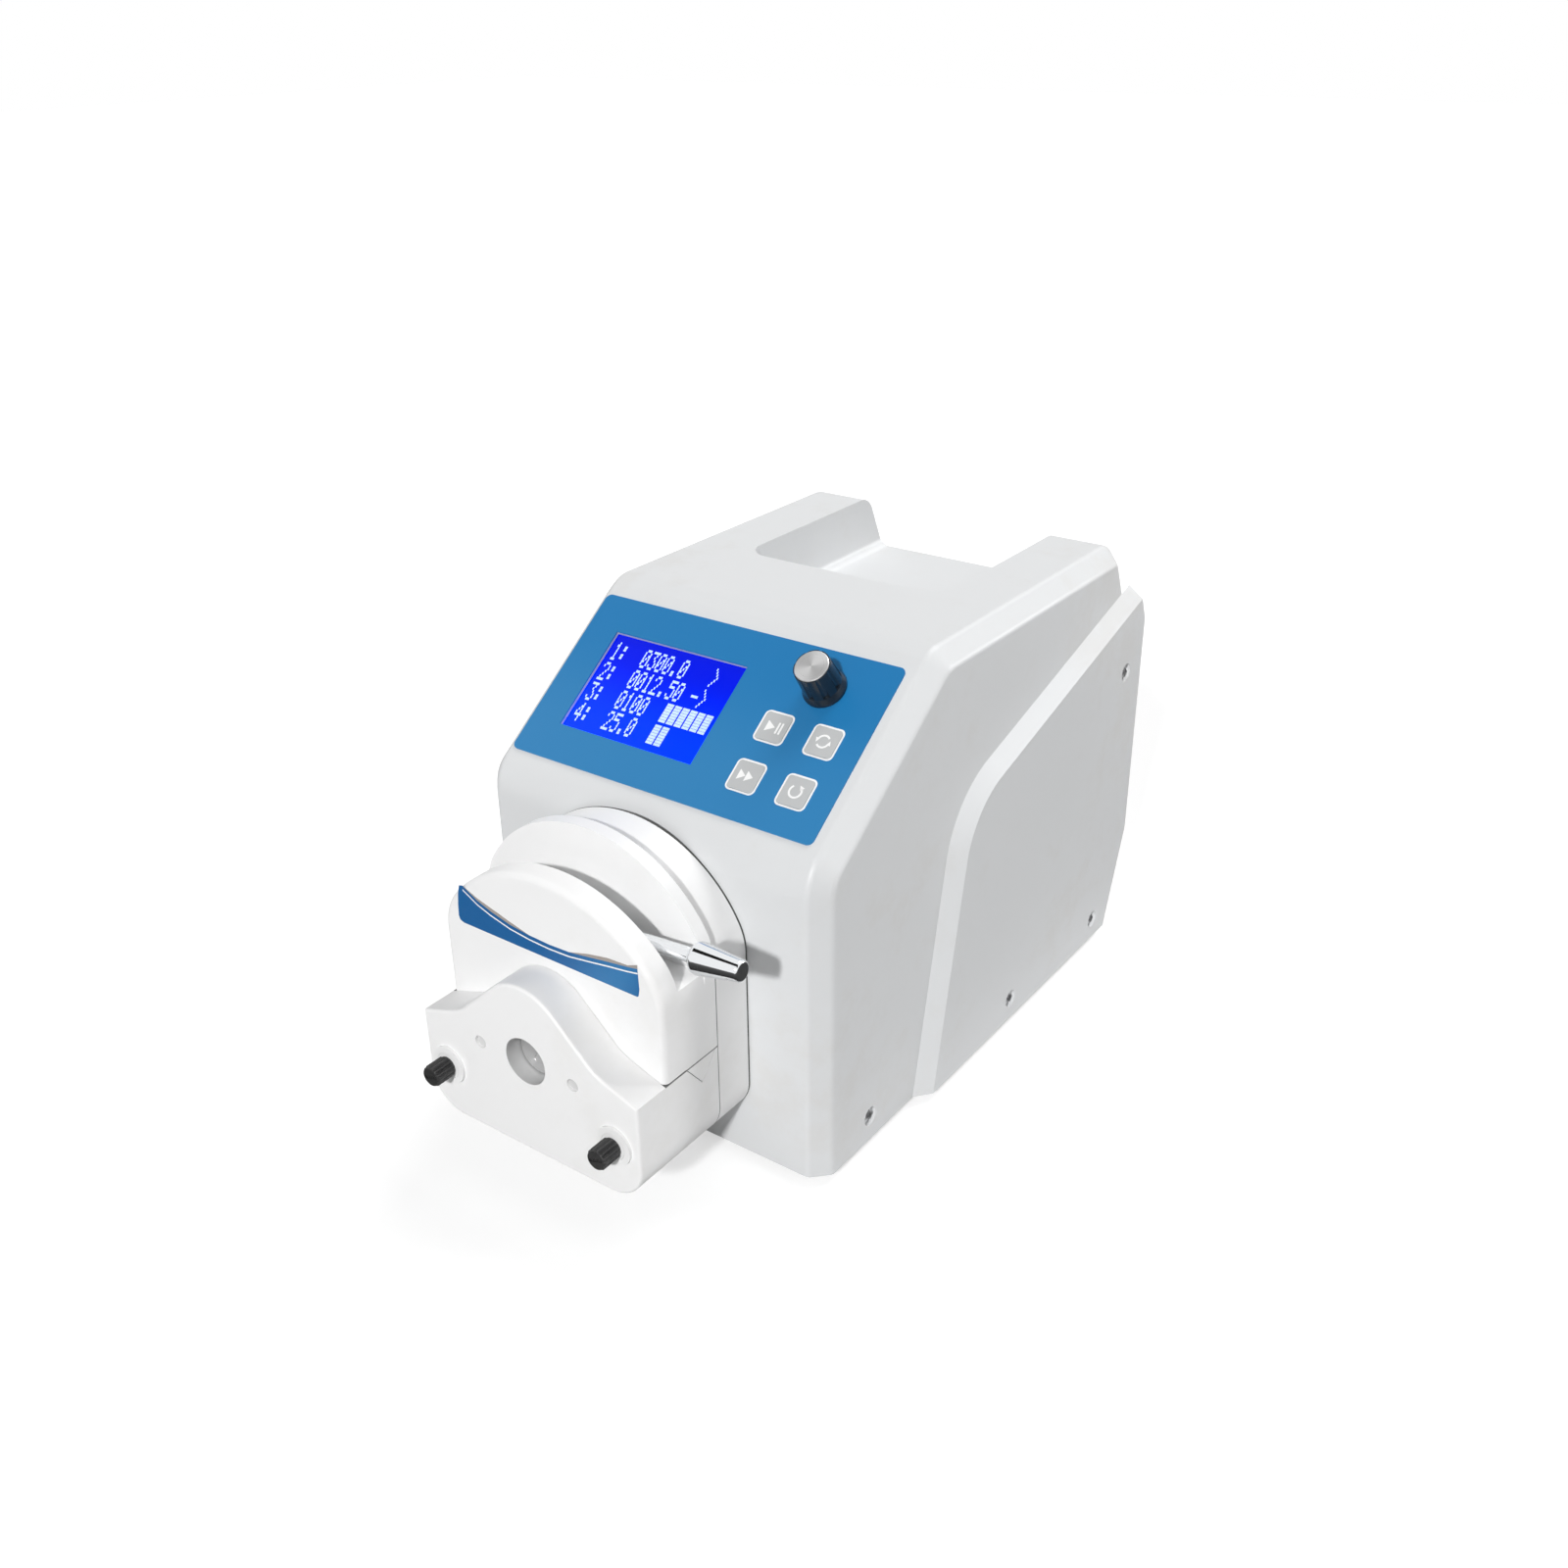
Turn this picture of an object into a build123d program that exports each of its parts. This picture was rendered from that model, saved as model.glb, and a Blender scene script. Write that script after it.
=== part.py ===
from build123d import *
import math
import os

os.makedirs("parts", exist_ok=True)

# Benchtop peristaltic pump with an easy-load head. Millimetres, +Z up, the head faces -Y.
# The origin is on the floor, under the middle of the whole pump.

# ---------------------------------------------------------------- driving dimensions
# Cover of the drive unit, measured from its front face and its lower edge
cover_half_width = 78.0
cover_height = 181.5
cover_wall = 3.0
bend_height = 125.5          # where the vertical front turns into the inclined panel
brow_depth = 76.4            # where the incline reaches the flat top
rear_depth = 235.0
rear_lean_run = 16.0         # how far the upper part of the back leans forwards
rear_shoulder_drop = 35.5
rear_tuck_run = 15.0
rear_tuck_height = 45.0
bend_radius = 18.0
brow_radius = 14.0
rear_radius = 10.0
edge_bevel = 6.7
edge_softening = 3.2

# Raised field on each side of the cover
side_rise = 5.5
side_strip_width = 6.4
side_line_foot = 61.9        # depth of the strip's inner line at the lower edge
side_line_corner = (85.9, 120.2)
side_line_end_inset = 7.3     # from the back, where the line's rise is measured
side_line_end_drop = 19.8
side_line_radius = 41.0

# Hand recess in the top
recess_half_width = 46.6
recess_front_depth = 125.3
recess_depth = 25.5
recess_corner_radius = 11.0
recess_floor_radius = 4.0

# Feet and tray
foot_height = 4.0
foot_radius = 7.0
foot_side_inset = 20.0
foot_front_depth = 25.0
foot_rear_inset = 35.0
tray_thickness = 1.5
tray_flange_height = 16.0
side_screw_radius = 2.0
side_screw_head_radius = 3.1
side_screw_head_height = 1.4
side_pocket_radius = 3.9
side_boss_radius = 5.2
side_pocket_depth = 1.8
front_screw_depth = 31.4
front_screw_height = 10.7
lower_screw_height = 9.8
middle_screw_depth = 130.4
rear_screw_inset = 27.8
upper_screw_inset = 15.0
upper_screw_drop = 12.0      # below the top of the rear panel

# Control panel, measured on the incline from the bend
overlay_side_margin = 9.2
overlay_length = 73.3
overlay_offset = -1.7
overlay_start = 11.3
overlay_thickness = 0.5
overlay_corner = 2.6
lcd_width = 62.1
lcd_length = 42.7
lcd_side_margin = 14.75       # from the overlay's left edge
lcd_centre_u = 47.8
lcd_sink = 0.7
lcd_frame_margin = 5.0
lcd_frame_thickness = 6.0
key_width = 11.0
key_length = 11.4
key_corner = 1.4
key_pitch_x = 21.2
key_pitch_u = 20.8
key_centre = (40.9, 38.6)
key_proud = 0.5
key_travel = 0.5
key_flange = 1.2
key_flange_thickness = 1.0
key_stem_radius = 1.7
key_stem_length = 3.2
key_clearance = 0.25
speed_centre = (41.1, 69.0)
speed_knob_height = 14.1
speed_skirt_radius = 8.3
speed_skirt_height = 3.2
speed_grip_radius = 7.4
speed_grip_taper = 0.5
speed_flute_radius = 1.5
speed_flutes = 8
speed_cap_radius = 6.4
speed_cap_thickness = 0.8
encoder_shaft_radius = 3.0
encoder_bush_radius = 3.5
encoder_size = 12.0
encoder_grip = 9.0
board_gap = 9.5              # from the inside of the panel to the circuit board
switch_body = (6.0, 6.0, 4.5)
board_thickness = 1.6
board_side_margin = 5.8       # from the overlay's edge to a post
board_post_rise = 28.0
board_rim = 4.0
board_post_radius = 3.0

# Pump head, measured from the rotor's axis; depths run forward from the cover's front
head_centre_x = -4.5
rotor_height = 57.2          # above the cover's lower edge
head_half_width = 50.5
head_base_drop = 39.2
head_base_radius = 14.5
gasket_thickness = 0.8
back_plate_front = 17.9
back_plate_crown = 70.9
back_plate_arc = 54.0
rear_arch_front = 23.7
rear_arch_crown = 75.2
rear_arch_arc = 55.0
rear_arch_skin = 1.6         # wall left in front of the yoke's pocket
front_arch_rear = 37.1
front_arch_front = 46.3
front_arch_crown = 64.8
front_arch_arc = 60.0
arch_shoulder_radius = 24.0
arch_edge_radius = 2.3
lever_gap_floor = 34.7
apron_rear = 46.5
apron_front = 61.2
joint_height = 1.7
joint_gap = 0.45
apron_apex = 38.1
apron_slope_point = (32.1, 8.1)
apron_curve_radius = 20.8
apron_edge_radius = 1.2
vee_half_width = 8.2
vee_drop = 10.0
vee_centre = 27.0
vee_length = 17.0

# Rotor
roller_count = 3
roller_radius = 7.0
roller_length = 17.6
roller_edge = 0.6
roller_pitch_radius = 17.0
axle_radius = 2.0
disc_thickness = 3.0
disc_radius = 23.0
hub_radius = 8.0
shaft_radius = 3.0
squeeze_gap = 3.2            # two tube walls between roller and track
rotor_clearance = 1.5
end_gap = 0.4
bearing_radius = 7.5
bearing_width = 5.0
bearing_groove = 0.4
bearing_race = 1.2
window_radius = 9.1
window_depth = 6.7
window_wall = 0.8
shaft_cap_radius = 8.5
shaft_cap_thickness = 1.6
shaft_cap_skin = 0.6
shaft_notch = 4.2
shaft_slot_width = 1.0
shaft_slot_length = 10.0
shaft_slot_angle = 60.0

# Loading lever
lever_pivot_height = 43.3
lever_rest_angle = 4.5
lever_sweep = 171.0
crank_offset = 6.0
crank_pin_radius = 2.5
crank_pin_gap = 1.0
lever_pin_radius = 3.0
lever_pin_grip = 7.4
lever_hub_radius = 9.0
lever_hub_length = 8.0
lever_centre_depth = 32.4
lever_rod_radius = 2.6
lever_rod_grip = 8.0
lever_rod_root = 2.0
lever_knob_shoulder = 3.0
lever_knob_start = 52.7
lever_knob_end = 74.0
lever_knob_radius = 5.8
lever_knob_tip_radius = 3.7
lever_knob_shoulder_rounding = 1.5
lever_knob_tip_rounding = 1.0
yoke_play = 1.5
yoke_wall = 2.5
guide_post_radius = 3.0
guide_post_x = 42.0
guide_post_depth = 41.8
guide_post_top = 29.0
guide_post_root = 12.0

# Tube clamps
clamp_x = 39.5
clamp_drop = 17.7
clamp_crank = 3.0
clamp_pin_radius = 2.0
clamp_pin_end = 1.5
clamp_spindle_radius = 5.1
clamp_play = 0.8
clamp_collar_radius = 7.6
clamp_collar_thickness = 1.2
clamp_knob_radius = 6.2
clamp_knob_length = 13.2
clamp_grip = 8.0
clamp_knob_flutes = 12
clamp_flute_radius = 0.6
clamp_slot_width = 1.4
clamp_slot_depth = 1.6
jaw_inner = 32.4
jaw_outer = 46.2
jaw_drop = 25.5
jaw_clearance = 0.3
apron_screw_x = 21.8
apron_screw_drop = 0.7
apron_screw_radius = 2.0
apron_screw_head_radius = 2.5
apron_screw_sink = 1.2
apron_screw_length = 12.0

# Drive inside the cover
motor_plate_thickness = 5.0
motor_plate_half_width = 48.0
motor_size = 57.0
motor_length = 76.0
motor_corner = 5.0
motor_step = 1.0
motor_cap = 16.0
motor_shaft_radius = 4.0
coupling_radius = 8.0
coupling_gap = 0.5
head_bolt_radius = 2.5
head_bolt_head_radius = 4.2
head_bolt_head_height = 4.0
head_bolt_upper = (34.0, 36.0)
head_bolt_lower = (22.0, -33.0)
head_bolt_grip = 9.0         # thread in the back plate
head_bolt_reach = 8.0        # thread of the lower bolts in the lower body
motor_bolt_spread = 47.1
motor_bolt_radius = 2.4
motor_plate_rise = 46.0
motor_room = 16.0            # behind the motor
tray_side_room = 6.35        # beside the tray's flanges
supply_width = 50.0
supply_height = 36.0
driver_width = 34.0
driver_height = 70.0
driver_fins = 9
driver_fin_depth = 8.0

# Rear panel and what it carries
rear_panel_thickness = 1.5
rear_panel_side_inset = 8.5
rear_panel_bottom = 50.0
rear_panel_drop = 15.0       # below the underside of the hand recess
rear_opening_border = 6.0
inlet_x = -42.0
inlet_drop = 18.0            # heights on the rear panel are taken from its middle
inlet_width = 27.0
inlet_tall = 20.0
inlet_depth = 18.0
inlet_flange = 3.5
inlet_flange_thickness = 2.0
inlet_flange_corner = 2.0
inlet_wall = 2.0
inlet_corner = 3.0
inlet_room = 4.0             # between the inlet and the boards in front of it
inlet_pin_pitch = 7.0
inlet_pin_drop = 2.0
inlet_pin_width = 2.0
rear_tab_reach = 18.0
rear_tab_height = 16.0
switch_rise = 18.0
switch_width = 21.0
switch_tall = 15.0
switch_depth = 16.0
switch_rim = 2.0
switch_rim_thickness = 1.5
switch_rim_corner = 1.0
switch_wall = 1.5
switch_floor = 4.0
rocker_tilt = 8.0
rocker_rise = 1.6
rocker_pivot_depth = 4.0
rocker_hub = 2.0
port_x = 42.0
port_drop = 20.0
port_width = 30.0
port_tall = 12.5
port_depth = 10.0
port_ear = 4.5
port_edge = 0.5
port_flange_thickness = 1.0
port_shell_inset = (2.5, 1.5)
port_shell_length = 2.0
port_shell_corner = 2.0
port_shell_wall = 1.0
port_socket_depth = 6.0
fan_size = 40.0
fan_thickness = 10.0
fan_x = 10.0
fan_rise = 11.0
fan_corner = 3.0
fan_arms = 3
fan_arm_width = 2.4
fan_arm_thickness = 1.6
fan_spindle_radius = 1.0
fan_hub_radius = 9.0
fan_blades = 7
fan_blade_thickness = 1.2
fan_bore_radius = 18.5
fan_blade_pitch = 35.0
fan_blade_chord = 6.0
fan_blade_root = 1.0
fan_blade_shift = 0.5
fan_tip_gap = 1.6
guard_pitch = 5.0
guard_spokes = 8
guard_slot = 3.4

# Shared clearances
fit_gap = 0.03               # fixed fits, on the radius
running_gap = 0.08           # turning fits, on the radius
slide_gap = 0.15
plate_gap = 0.3              # between pieces that pass each other

# ---------------------------------------------------------------- derived places
knob_front = apron_front + clamp_collar_thickness + clamp_knob_length
front_y = (knob_front - rear_depth) / 2
rotor_z = foot_height + rotor_height
top_rear_depth = rear_depth - rear_lean_run
rear_foot_depth = rear_depth - rear_tuck_run
rear_shoulder_height = cover_height - rear_shoulder_drop
side_line_rear = (rear_depth - side_line_end_inset, cover_height - side_line_end_drop)
panel_angle = math.degrees(math.atan2(cover_height - bend_height, brow_depth))
panel_plane = Plane(
    origin=(0, front_y, foot_height + bend_height),
    x_dir=(1, 0, 0),
    z_dir=(0, -math.sin(math.radians(panel_angle)), math.cos(math.radians(panel_angle))),
)
overlay_width = 2 * (cover_half_width - overlay_side_margin)
overlay_centre = (overlay_offset, overlay_start + overlay_length / 2)
lcd_centre = (overlay_offset - overlay_width / 2 + lcd_side_margin + lcd_width / 2, lcd_centre_u)
track_radius = roller_pitch_radius + roller_radius + squeeze_gap
cavity_radius = roller_pitch_radius + roller_radius + rotor_clearance
rear_disc_rear = vee_centre - roller_length / 2 - end_gap - disc_thickness
front_disc_rear = vee_centre + roller_length / 2 + end_gap
front_disc_front = front_disc_rear + disc_thickness
cavity_front = front_disc_front + end_gap
disc_pocket_rear = rear_disc_rear - end_gap
block_rear = back_plate_front + slide_gap
block_bottom = joint_height + joint_gap
lever_lift = 2 * crank_offset
crank_height = lever_pivot_height + crank_offset
cap_front = apron_front - window_depth
window_floor = cap_front - shaft_cap_thickness - end_gap
front_bearing_rear = window_floor - window_wall - bearing_width
rear_bearing_rear = disc_pocket_rear - window_wall - bearing_width
clamp_pin_rear = vee_centre - vee_half_width + clamp_pin_end
clamp_spindle_rear = vee_centre + vee_half_width + plate_gap
motor_face = cover_wall + motor_plate_thickness
bush_hole_radius = encoder_bush_radius + key_clearance
board_face = cover_wall + board_gap
key_top = overlay_thickness + key_proud
tray_half_width = cover_half_width - cover_wall - slide_gap
foot_x = cover_half_width - foot_side_inset
foot_rear_depth = rear_depth - foot_rear_inset
rear_panel_half_width = cover_half_width - rear_panel_side_inset
rear_panel_top = cover_height - recess_depth - cover_wall - rear_panel_drop
panel_mid = (rear_panel_bottom + rear_panel_top) / 2
inlet_height = panel_mid - inlet_drop
switch_height = panel_mid + switch_rise
port_height = panel_mid - port_drop
fan_height = panel_mid + fan_rise
boards_front = motor_face + motor_length + motor_room
boards_length = rear_depth - cover_wall - inlet_depth - inlet_room - boards_front
supply_x = tray_half_width - tray_thickness - tray_side_room - supply_width / 2
driver_x = -(tray_half_width - tray_thickness - tray_side_room - driver_width / 2)
rear_screw_depth = rear_depth - rear_screw_inset
upper_screw_depth = rear_depth - upper_screw_inset
upper_screw_height = rear_panel_top - upper_screw_drop
upper_bolt_spots = [(side * head_bolt_upper[0], head_bolt_upper[1]) for side in (-1, 1)]
lower_bolt_spots = [(side * head_bolt_lower[0], head_bolt_lower[1]) for side in (-1, 1)]
board_post_x = overlay_width / 2 - board_side_margin
board_corners = [
    (overlay_centre[0] + side * board_post_x, overlay_centre[1] + level * board_post_rise)
    for side in (-1, 1)
    for level in (-1, 1)
]


def head_plane(depth):
    """Upright plane through the rotor's axis direction, this far in front of the cover."""
    return Plane(origin=(head_centre_x, front_y - depth, rotor_z), x_dir=(1, 0, 0), z_dir=(0, -1, 0))


def side_plane(x):
    """Plane square to X, with local x as depth behind the cover's front, local y as height."""
    return Plane(origin=(x, front_y, foot_height), x_dir=(0, 1, 0), z_dir=(1, 0, 0))


def floor_plane(height):
    """Level plane, this far above the cover's lower edge, with its origin at the front face."""
    return Plane(origin=(0, front_y, foot_height + height), x_dir=(1, 0, 0), z_dir=(0, 0, 1))


def save(piece, name):
    """Label a finished piece and write it as its own file."""
    piece.part.label = name
    export_step(piece.part, f"parts/{name}.step")


# ---------------------------------------------------------------- housing cover
def cover_profile(inset, floor):
    """Side outline of the cover, moved inwards by the inset and cut off at the floor height."""
    lean = math.radians(panel_angle)
    rear_lean = math.atan2(rear_depth - top_rear_depth, cover_height - rear_shoulder_height)
    foot_slope = (rear_depth - rear_foot_depth) / rear_tuck_height
    right_angle = math.pi / 2
    points = [
        (inset, floor),
        (inset, bend_height - inset * math.tan((right_angle - lean) / 2)),
        (brow_depth + inset * math.tan(lean / 2), cover_height - inset),
        (top_rear_depth - inset * math.tan((right_angle - rear_lean) / 2), cover_height - inset),
        (rear_depth - inset, rear_shoulder_height - inset * math.tan(rear_lean / 2)),
        (rear_depth - inset, rear_tuck_height),
        (rear_depth - inset - foot_slope * (rear_tuck_height - floor), floor),
    ]
    radii = [0, bend_radius, brow_radius, rear_radius, rear_radius, rear_radius, 0]
    return points, [max(radius - inset, 0) for radius in radii]


def cover_slab(inset, floor, half_width):
    """The side outline run from one side of the cover to the other."""
    points, radii = cover_profile(inset, floor)
    with BuildPart() as slab:
        with BuildSketch(side_plane(0)):
            with BuildLine():
                FilletPolyline(*points, radius=radii, close=True)
            make_face()
        extrude(amount=half_width, both=True)
    return slab.part


def side_outlines(solid):
    """Edges round the two flat sides of a slab, without the two at its foot."""
    sides = solid.faces().sort_by(Axis.X)
    return [edge for side in (sides[0], sides[-1]) for edge in side.edges().sort_by(Axis.Z)[1:]]


def side_fields(inset):
    """The raised field of both sides, tapered all round by its bevelled strip."""
    corner_depth, corner_height = side_line_corner
    end_depth, end_height = side_line_rear
    foot_slope = (corner_depth - side_line_foot) / corner_height
    rise_slope = (end_height - corner_height) / (end_depth - corner_depth)
    below = -4 * side_strip_width
    beyond = rear_depth + 4 * side_strip_width
    with BuildPart() as fields:
        with BuildSketch(side_plane(cover_half_width - inset)):
            with BuildLine():
                FilletPolyline(
                    (side_line_foot + foot_slope * below + inset, below),
                    (corner_depth + inset, corner_height - inset),
                    (beyond, corner_height - inset + rise_slope * (beyond - corner_depth)),
                    (beyond, below),
                    radius=[0, side_line_radius, 0, 0],
                    close=True,
                )
            make_face()
        extrude(amount=side_rise, taper=math.degrees(math.atan2(side_strip_width, side_rise)))
        mirror(about=Plane.YZ)
        add(cover_slab(inset, -inset, cover_half_width + side_rise), mode=Mode.INTERSECT)
    return fields.part


field_x = cover_half_width + side_rise
side_screw_spots = [
    (cover_half_width, tray_half_width, front_screw_depth, front_screw_height),
    (field_x, tray_half_width, middle_screw_depth, lower_screw_height),
    (field_x, tray_half_width, rear_screw_depth, lower_screw_height),
    (field_x, rear_panel_half_width, upper_screw_depth, upper_screw_height),
]
key_spots = [
    (key_centre[0] + side * key_pitch_x / 2, key_centre[1] + level * key_pitch_u / 2)
    for side, level in ((-1, 1), (1, 1), (-1, -1), (1, -1))
]

# Moulded shell: the bevelled slab with its edges softened, its raised side fields, then the hollow
with BuildPart() as cover_core:
    add(cover_slab(0, 0, cover_half_width))
    chamfer(side_outlines(cover_core.part), edge_bevel)
    fillet(side_outlines(cover_core.part), edge_softening)
    bevel_lines = cover_core.edges().filter_by(
        lambda edge: abs(abs(edge.center().X) - (cover_half_width - edge_bevel)) < fit_gap
        and edge.length > edge_softening / 4
        and edge.center().Z > foot_height + fit_gap
    )
    fillet(bevel_lines, edge_softening)

with BuildPart() as cover_hollow:
    add(cover_slab(cover_wall, -cover_wall, cover_half_width - cover_wall))
    chamfer(side_outlines(cover_hollow.part), edge_bevel - cover_wall * (2 - math.sqrt(2)))
    add(side_fields(cover_wall))
    with BuildSketch(floor_plane(cover_height - recess_depth - cover_wall)):
        with Locations((0, recess_front_depth - cover_wall)):
            Rectangle(
                2 * (recess_half_width + cover_wall), rear_depth, align=(Align.CENTER, Align.MIN)
            )
    extrude(amount=recess_depth + cover_wall, mode=Mode.SUBTRACT)

with BuildPart() as housing_cover:
    add(cover_core.part)
    add(side_fields(0))
    add(cover_hollow.part, mode=Mode.SUBTRACT)
    # Hand recess with rounded front corners, open at the back
    with BuildSketch(floor_plane(cover_height - recess_depth)) as recess_plan:
        with Locations((0, recess_front_depth)):
            Rectangle(2 * recess_half_width, rear_depth, align=(Align.CENTER, Align.MIN))
        fillet(recess_plan.vertices().group_by(Axis.Y)[0], recess_corner_radius)
    extrude(amount=2 * recess_depth, mode=Mode.SUBTRACT)
    recess_floor = housing_cover.faces().filter_by(
        lambda face: abs(face.center().Z - (foot_height + cover_height - recess_depth)) < 0.01
        and face.normal_at().Z > 0.9
    )
    fillet(recess_floor[0].edges().sort_by(Axis.Y)[:-1], recess_floor_radius)
    # Openings of the control panel: display, keys and encoder bush
    with BuildSketch(panel_plane):
        with Locations(lcd_centre):
            Rectangle(lcd_width + 2 * plate_gap, lcd_length + 2 * plate_gap)
        with Locations(*key_spots):
            RectangleRounded(
                key_width + 2 * key_clearance, key_length + 2 * key_clearance, key_corner
            )
        with Locations(speed_centre):
            Circle(bush_hole_radius)
    extrude(amount=2 * cover_wall, both=True, mode=Mode.SUBTRACT)
    # Posts for the circuit board
    with BuildSketch(panel_plane.offset(-cover_wall - board_gap)) as board_posts:
        with Locations(*board_corners):
            Circle(board_post_radius)
    extrude(amount=board_gap + cover_wall / 2)
    # Front wall: way through for the motor coupling and the head bolts
    with BuildSketch(head_plane(0)):
        Circle(coupling_radius + 2 * coupling_gap)
        with Locations(*upper_bolt_spots, *lower_bolt_spots):
            Circle(head_bolt_radius + plate_gap)
    extrude(amount=2 * cover_wall, both=True, mode=Mode.SUBTRACT)
    # Back wall: window behind which the rear panel sits
    with BuildSketch(side_plane(0)):
        with Locations((rear_depth, (rear_panel_bottom + rear_panel_top) / 2)):
            Rectangle(
                6 * cover_wall, rear_panel_top - rear_panel_bottom - 2 * rear_opening_border
            )
    extrude(amount=rear_panel_half_width - rear_opening_border, both=True, mode=Mode.SUBTRACT)
    # Screw bosses, pockets and holes in both sides
    for outer, seat, depth, height in side_screw_spots:
        for side in (-1, 1):
            with BuildSketch(side_plane(side * (seat + plate_gap))):
                with Locations((depth, height)):
                    Circle(side_boss_radius)
            extrude(amount=side * (outer - cover_wall / 2 - seat - plate_gap))
            with BuildSketch(side_plane(side * outer)):
                with Locations((depth, height)):
                    Circle(side_pocket_radius)
            extrude(amount=-side * side_pocket_depth, mode=Mode.SUBTRACT)
            with BuildSketch(side_plane(side * outer)):
                with Locations((depth, height)):
                    Circle(side_screw_radius + plate_gap)
            extrude(amount=-side * (outer - seat + cover_wall), mode=Mode.SUBTRACT)
save(housing_cover, "housing_cover")


# ---------------------------------------------------------------- base, feet and screws
with BuildPart() as base_tray:
    tray_front = cover_wall + slide_gap
    tray_rear = rear_foot_depth - cover_wall - slide_gap
    with BuildSketch(floor_plane(0)) as tray_plan:
        with Locations((0, tray_front)):
            Rectangle(2 * tray_half_width, tray_rear - tray_front, align=(Align.CENTER, Align.MIN))
        chamfer(tray_plan.vertices(), edge_bevel)
    extrude(amount=tray_thickness)
    for side in (-1, 1):
        with BuildSketch(side_plane(side * tray_half_width)) as flange:
            with Locations(((tray_front + tray_rear) / 2, 0)):
                Rectangle(
                    tray_rear - tray_front - 2 * edge_bevel,
                    tray_flange_height,
                    align=(Align.CENTER, Align.MIN),
                )
            fillet(flange.vertices().group_by(Axis.Z)[-1], tray_thickness)
        extrude(amount=-side * tray_thickness)
        with BuildSketch(side_plane(side * tray_half_width)):
            for outer, seat, depth, height in side_screw_spots[:3]:
                with Locations((depth, height)):
                    Circle(side_screw_radius)
        extrude(amount=-side * tray_thickness, mode=Mode.SUBTRACT)
save(base_tray, "base_tray")

with BuildPart() as rubber_feet:
    with BuildSketch(floor_plane(-foot_height)):
        for depth in (foot_front_depth, foot_rear_depth):
            with Locations((-foot_x, depth), (foot_x, depth)):
                Circle(foot_radius)
    extrude(amount=foot_height)
    fillet(rubber_feet.edges().group_by(Axis.Z)[0], foot_height / 4)
save(rubber_feet, "rubber_feet")

with BuildPart() as side_screws:
    for outer, seat, depth, height in side_screw_spots:
        for side in (-1, 1):
            head_seat = outer - side_pocket_depth
            with BuildSketch(side_plane(side * head_seat)):
                with Locations((depth, height)):
                    Circle(side_screw_head_radius)
            extrude(amount=side * side_screw_head_height)
            with BuildSketch(side_plane(side * head_seat)):
                with Locations((depth, height)):
                    Circle(side_screw_radius - fit_gap)
            extrude(amount=-side * (head_seat - seat + 2 * tray_thickness))
save(side_screws, "side_screws")

# ---------------------------------------------------------------- control panel
with BuildPart() as overlay_panel:
    with BuildSketch(panel_plane):
        with Locations(overlay_centre):
            RectangleRounded(overlay_width, overlay_length, overlay_corner)
        with Locations(lcd_centre):
            Rectangle(lcd_width + 2 * plate_gap, lcd_length + 2 * plate_gap, mode=Mode.SUBTRACT)
        with Locations(*key_spots):
            RectangleRounded(
                key_width + 2 * key_clearance,
                key_length + 2 * key_clearance,
                key_corner,
                mode=Mode.SUBTRACT,
            )
        with Locations(speed_centre):
            Circle(bush_hole_radius, mode=Mode.SUBTRACT)
    extrude(amount=overlay_thickness)
save(overlay_panel, "overlay_panel")

with BuildPart() as display_glass:
    with BuildSketch(panel_plane.offset(-lcd_sink)):
        with Locations(lcd_centre):
            Rectangle(lcd_width, lcd_length)
    extrude(amount=-(cover_wall + plate_gap - lcd_sink))
save(display_glass, "display_glass")

with BuildPart() as display_frame:
    with BuildSketch(panel_plane.offset(-cover_wall - plate_gap)):
        with Locations(lcd_centre):
            RectangleRounded(
                lcd_width + 2 * lcd_frame_margin,
                lcd_length + 2 * lcd_frame_margin,
                board_rim / 2,
            )
    extrude(amount=-lcd_frame_thickness)
save(display_frame, "display_frame")

with BuildPart() as control_board:
    with BuildSketch(panel_plane.offset(-board_face)):
        with Locations(overlay_centre):
            Rectangle(2 * (board_post_x + board_rim), 2 * (board_post_rise + board_rim))
    extrude(amount=-board_thickness)
    # Key switches
    with BuildSketch(panel_plane.offset(-board_face)):
        with Locations(*key_spots):
            Rectangle(switch_body[0], switch_body[1])
    extrude(amount=switch_body[2])
save(control_board, "control_board")

with BuildPart() as encoder_body:
    with BuildSketch(panel_plane.offset(-board_face)):
        with Locations(speed_centre):
            Rectangle(encoder_size, encoder_size)
    extrude(amount=board_face - cover_wall - plate_gap)
    with BuildSketch(panel_plane.offset(-cover_wall - plate_gap)):
        with Locations(speed_centre):
            Circle(encoder_bush_radius)
    extrude(amount=cover_wall + 2 * plate_gap)
    with BuildSketch(panel_plane.offset(2 * plate_gap)):
        with Locations(speed_centre):
            Circle(encoder_shaft_radius + running_gap)
    extrude(amount=-(cover_wall + 4 * plate_gap), mode=Mode.SUBTRACT)
save(encoder_body, "encoder_body")

knob_base = overlay_thickness + plate_gap
knob_top = knob_base + speed_knob_height
with BuildPart() as encoder_shaft:
    with BuildSketch(panel_plane.offset(-cover_wall)):
        with Locations(speed_centre):
            Circle(encoder_shaft_radius)
    extrude(amount=cover_wall + knob_base + encoder_grip - plate_gap)
save(encoder_shaft, "encoder_shaft")

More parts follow.
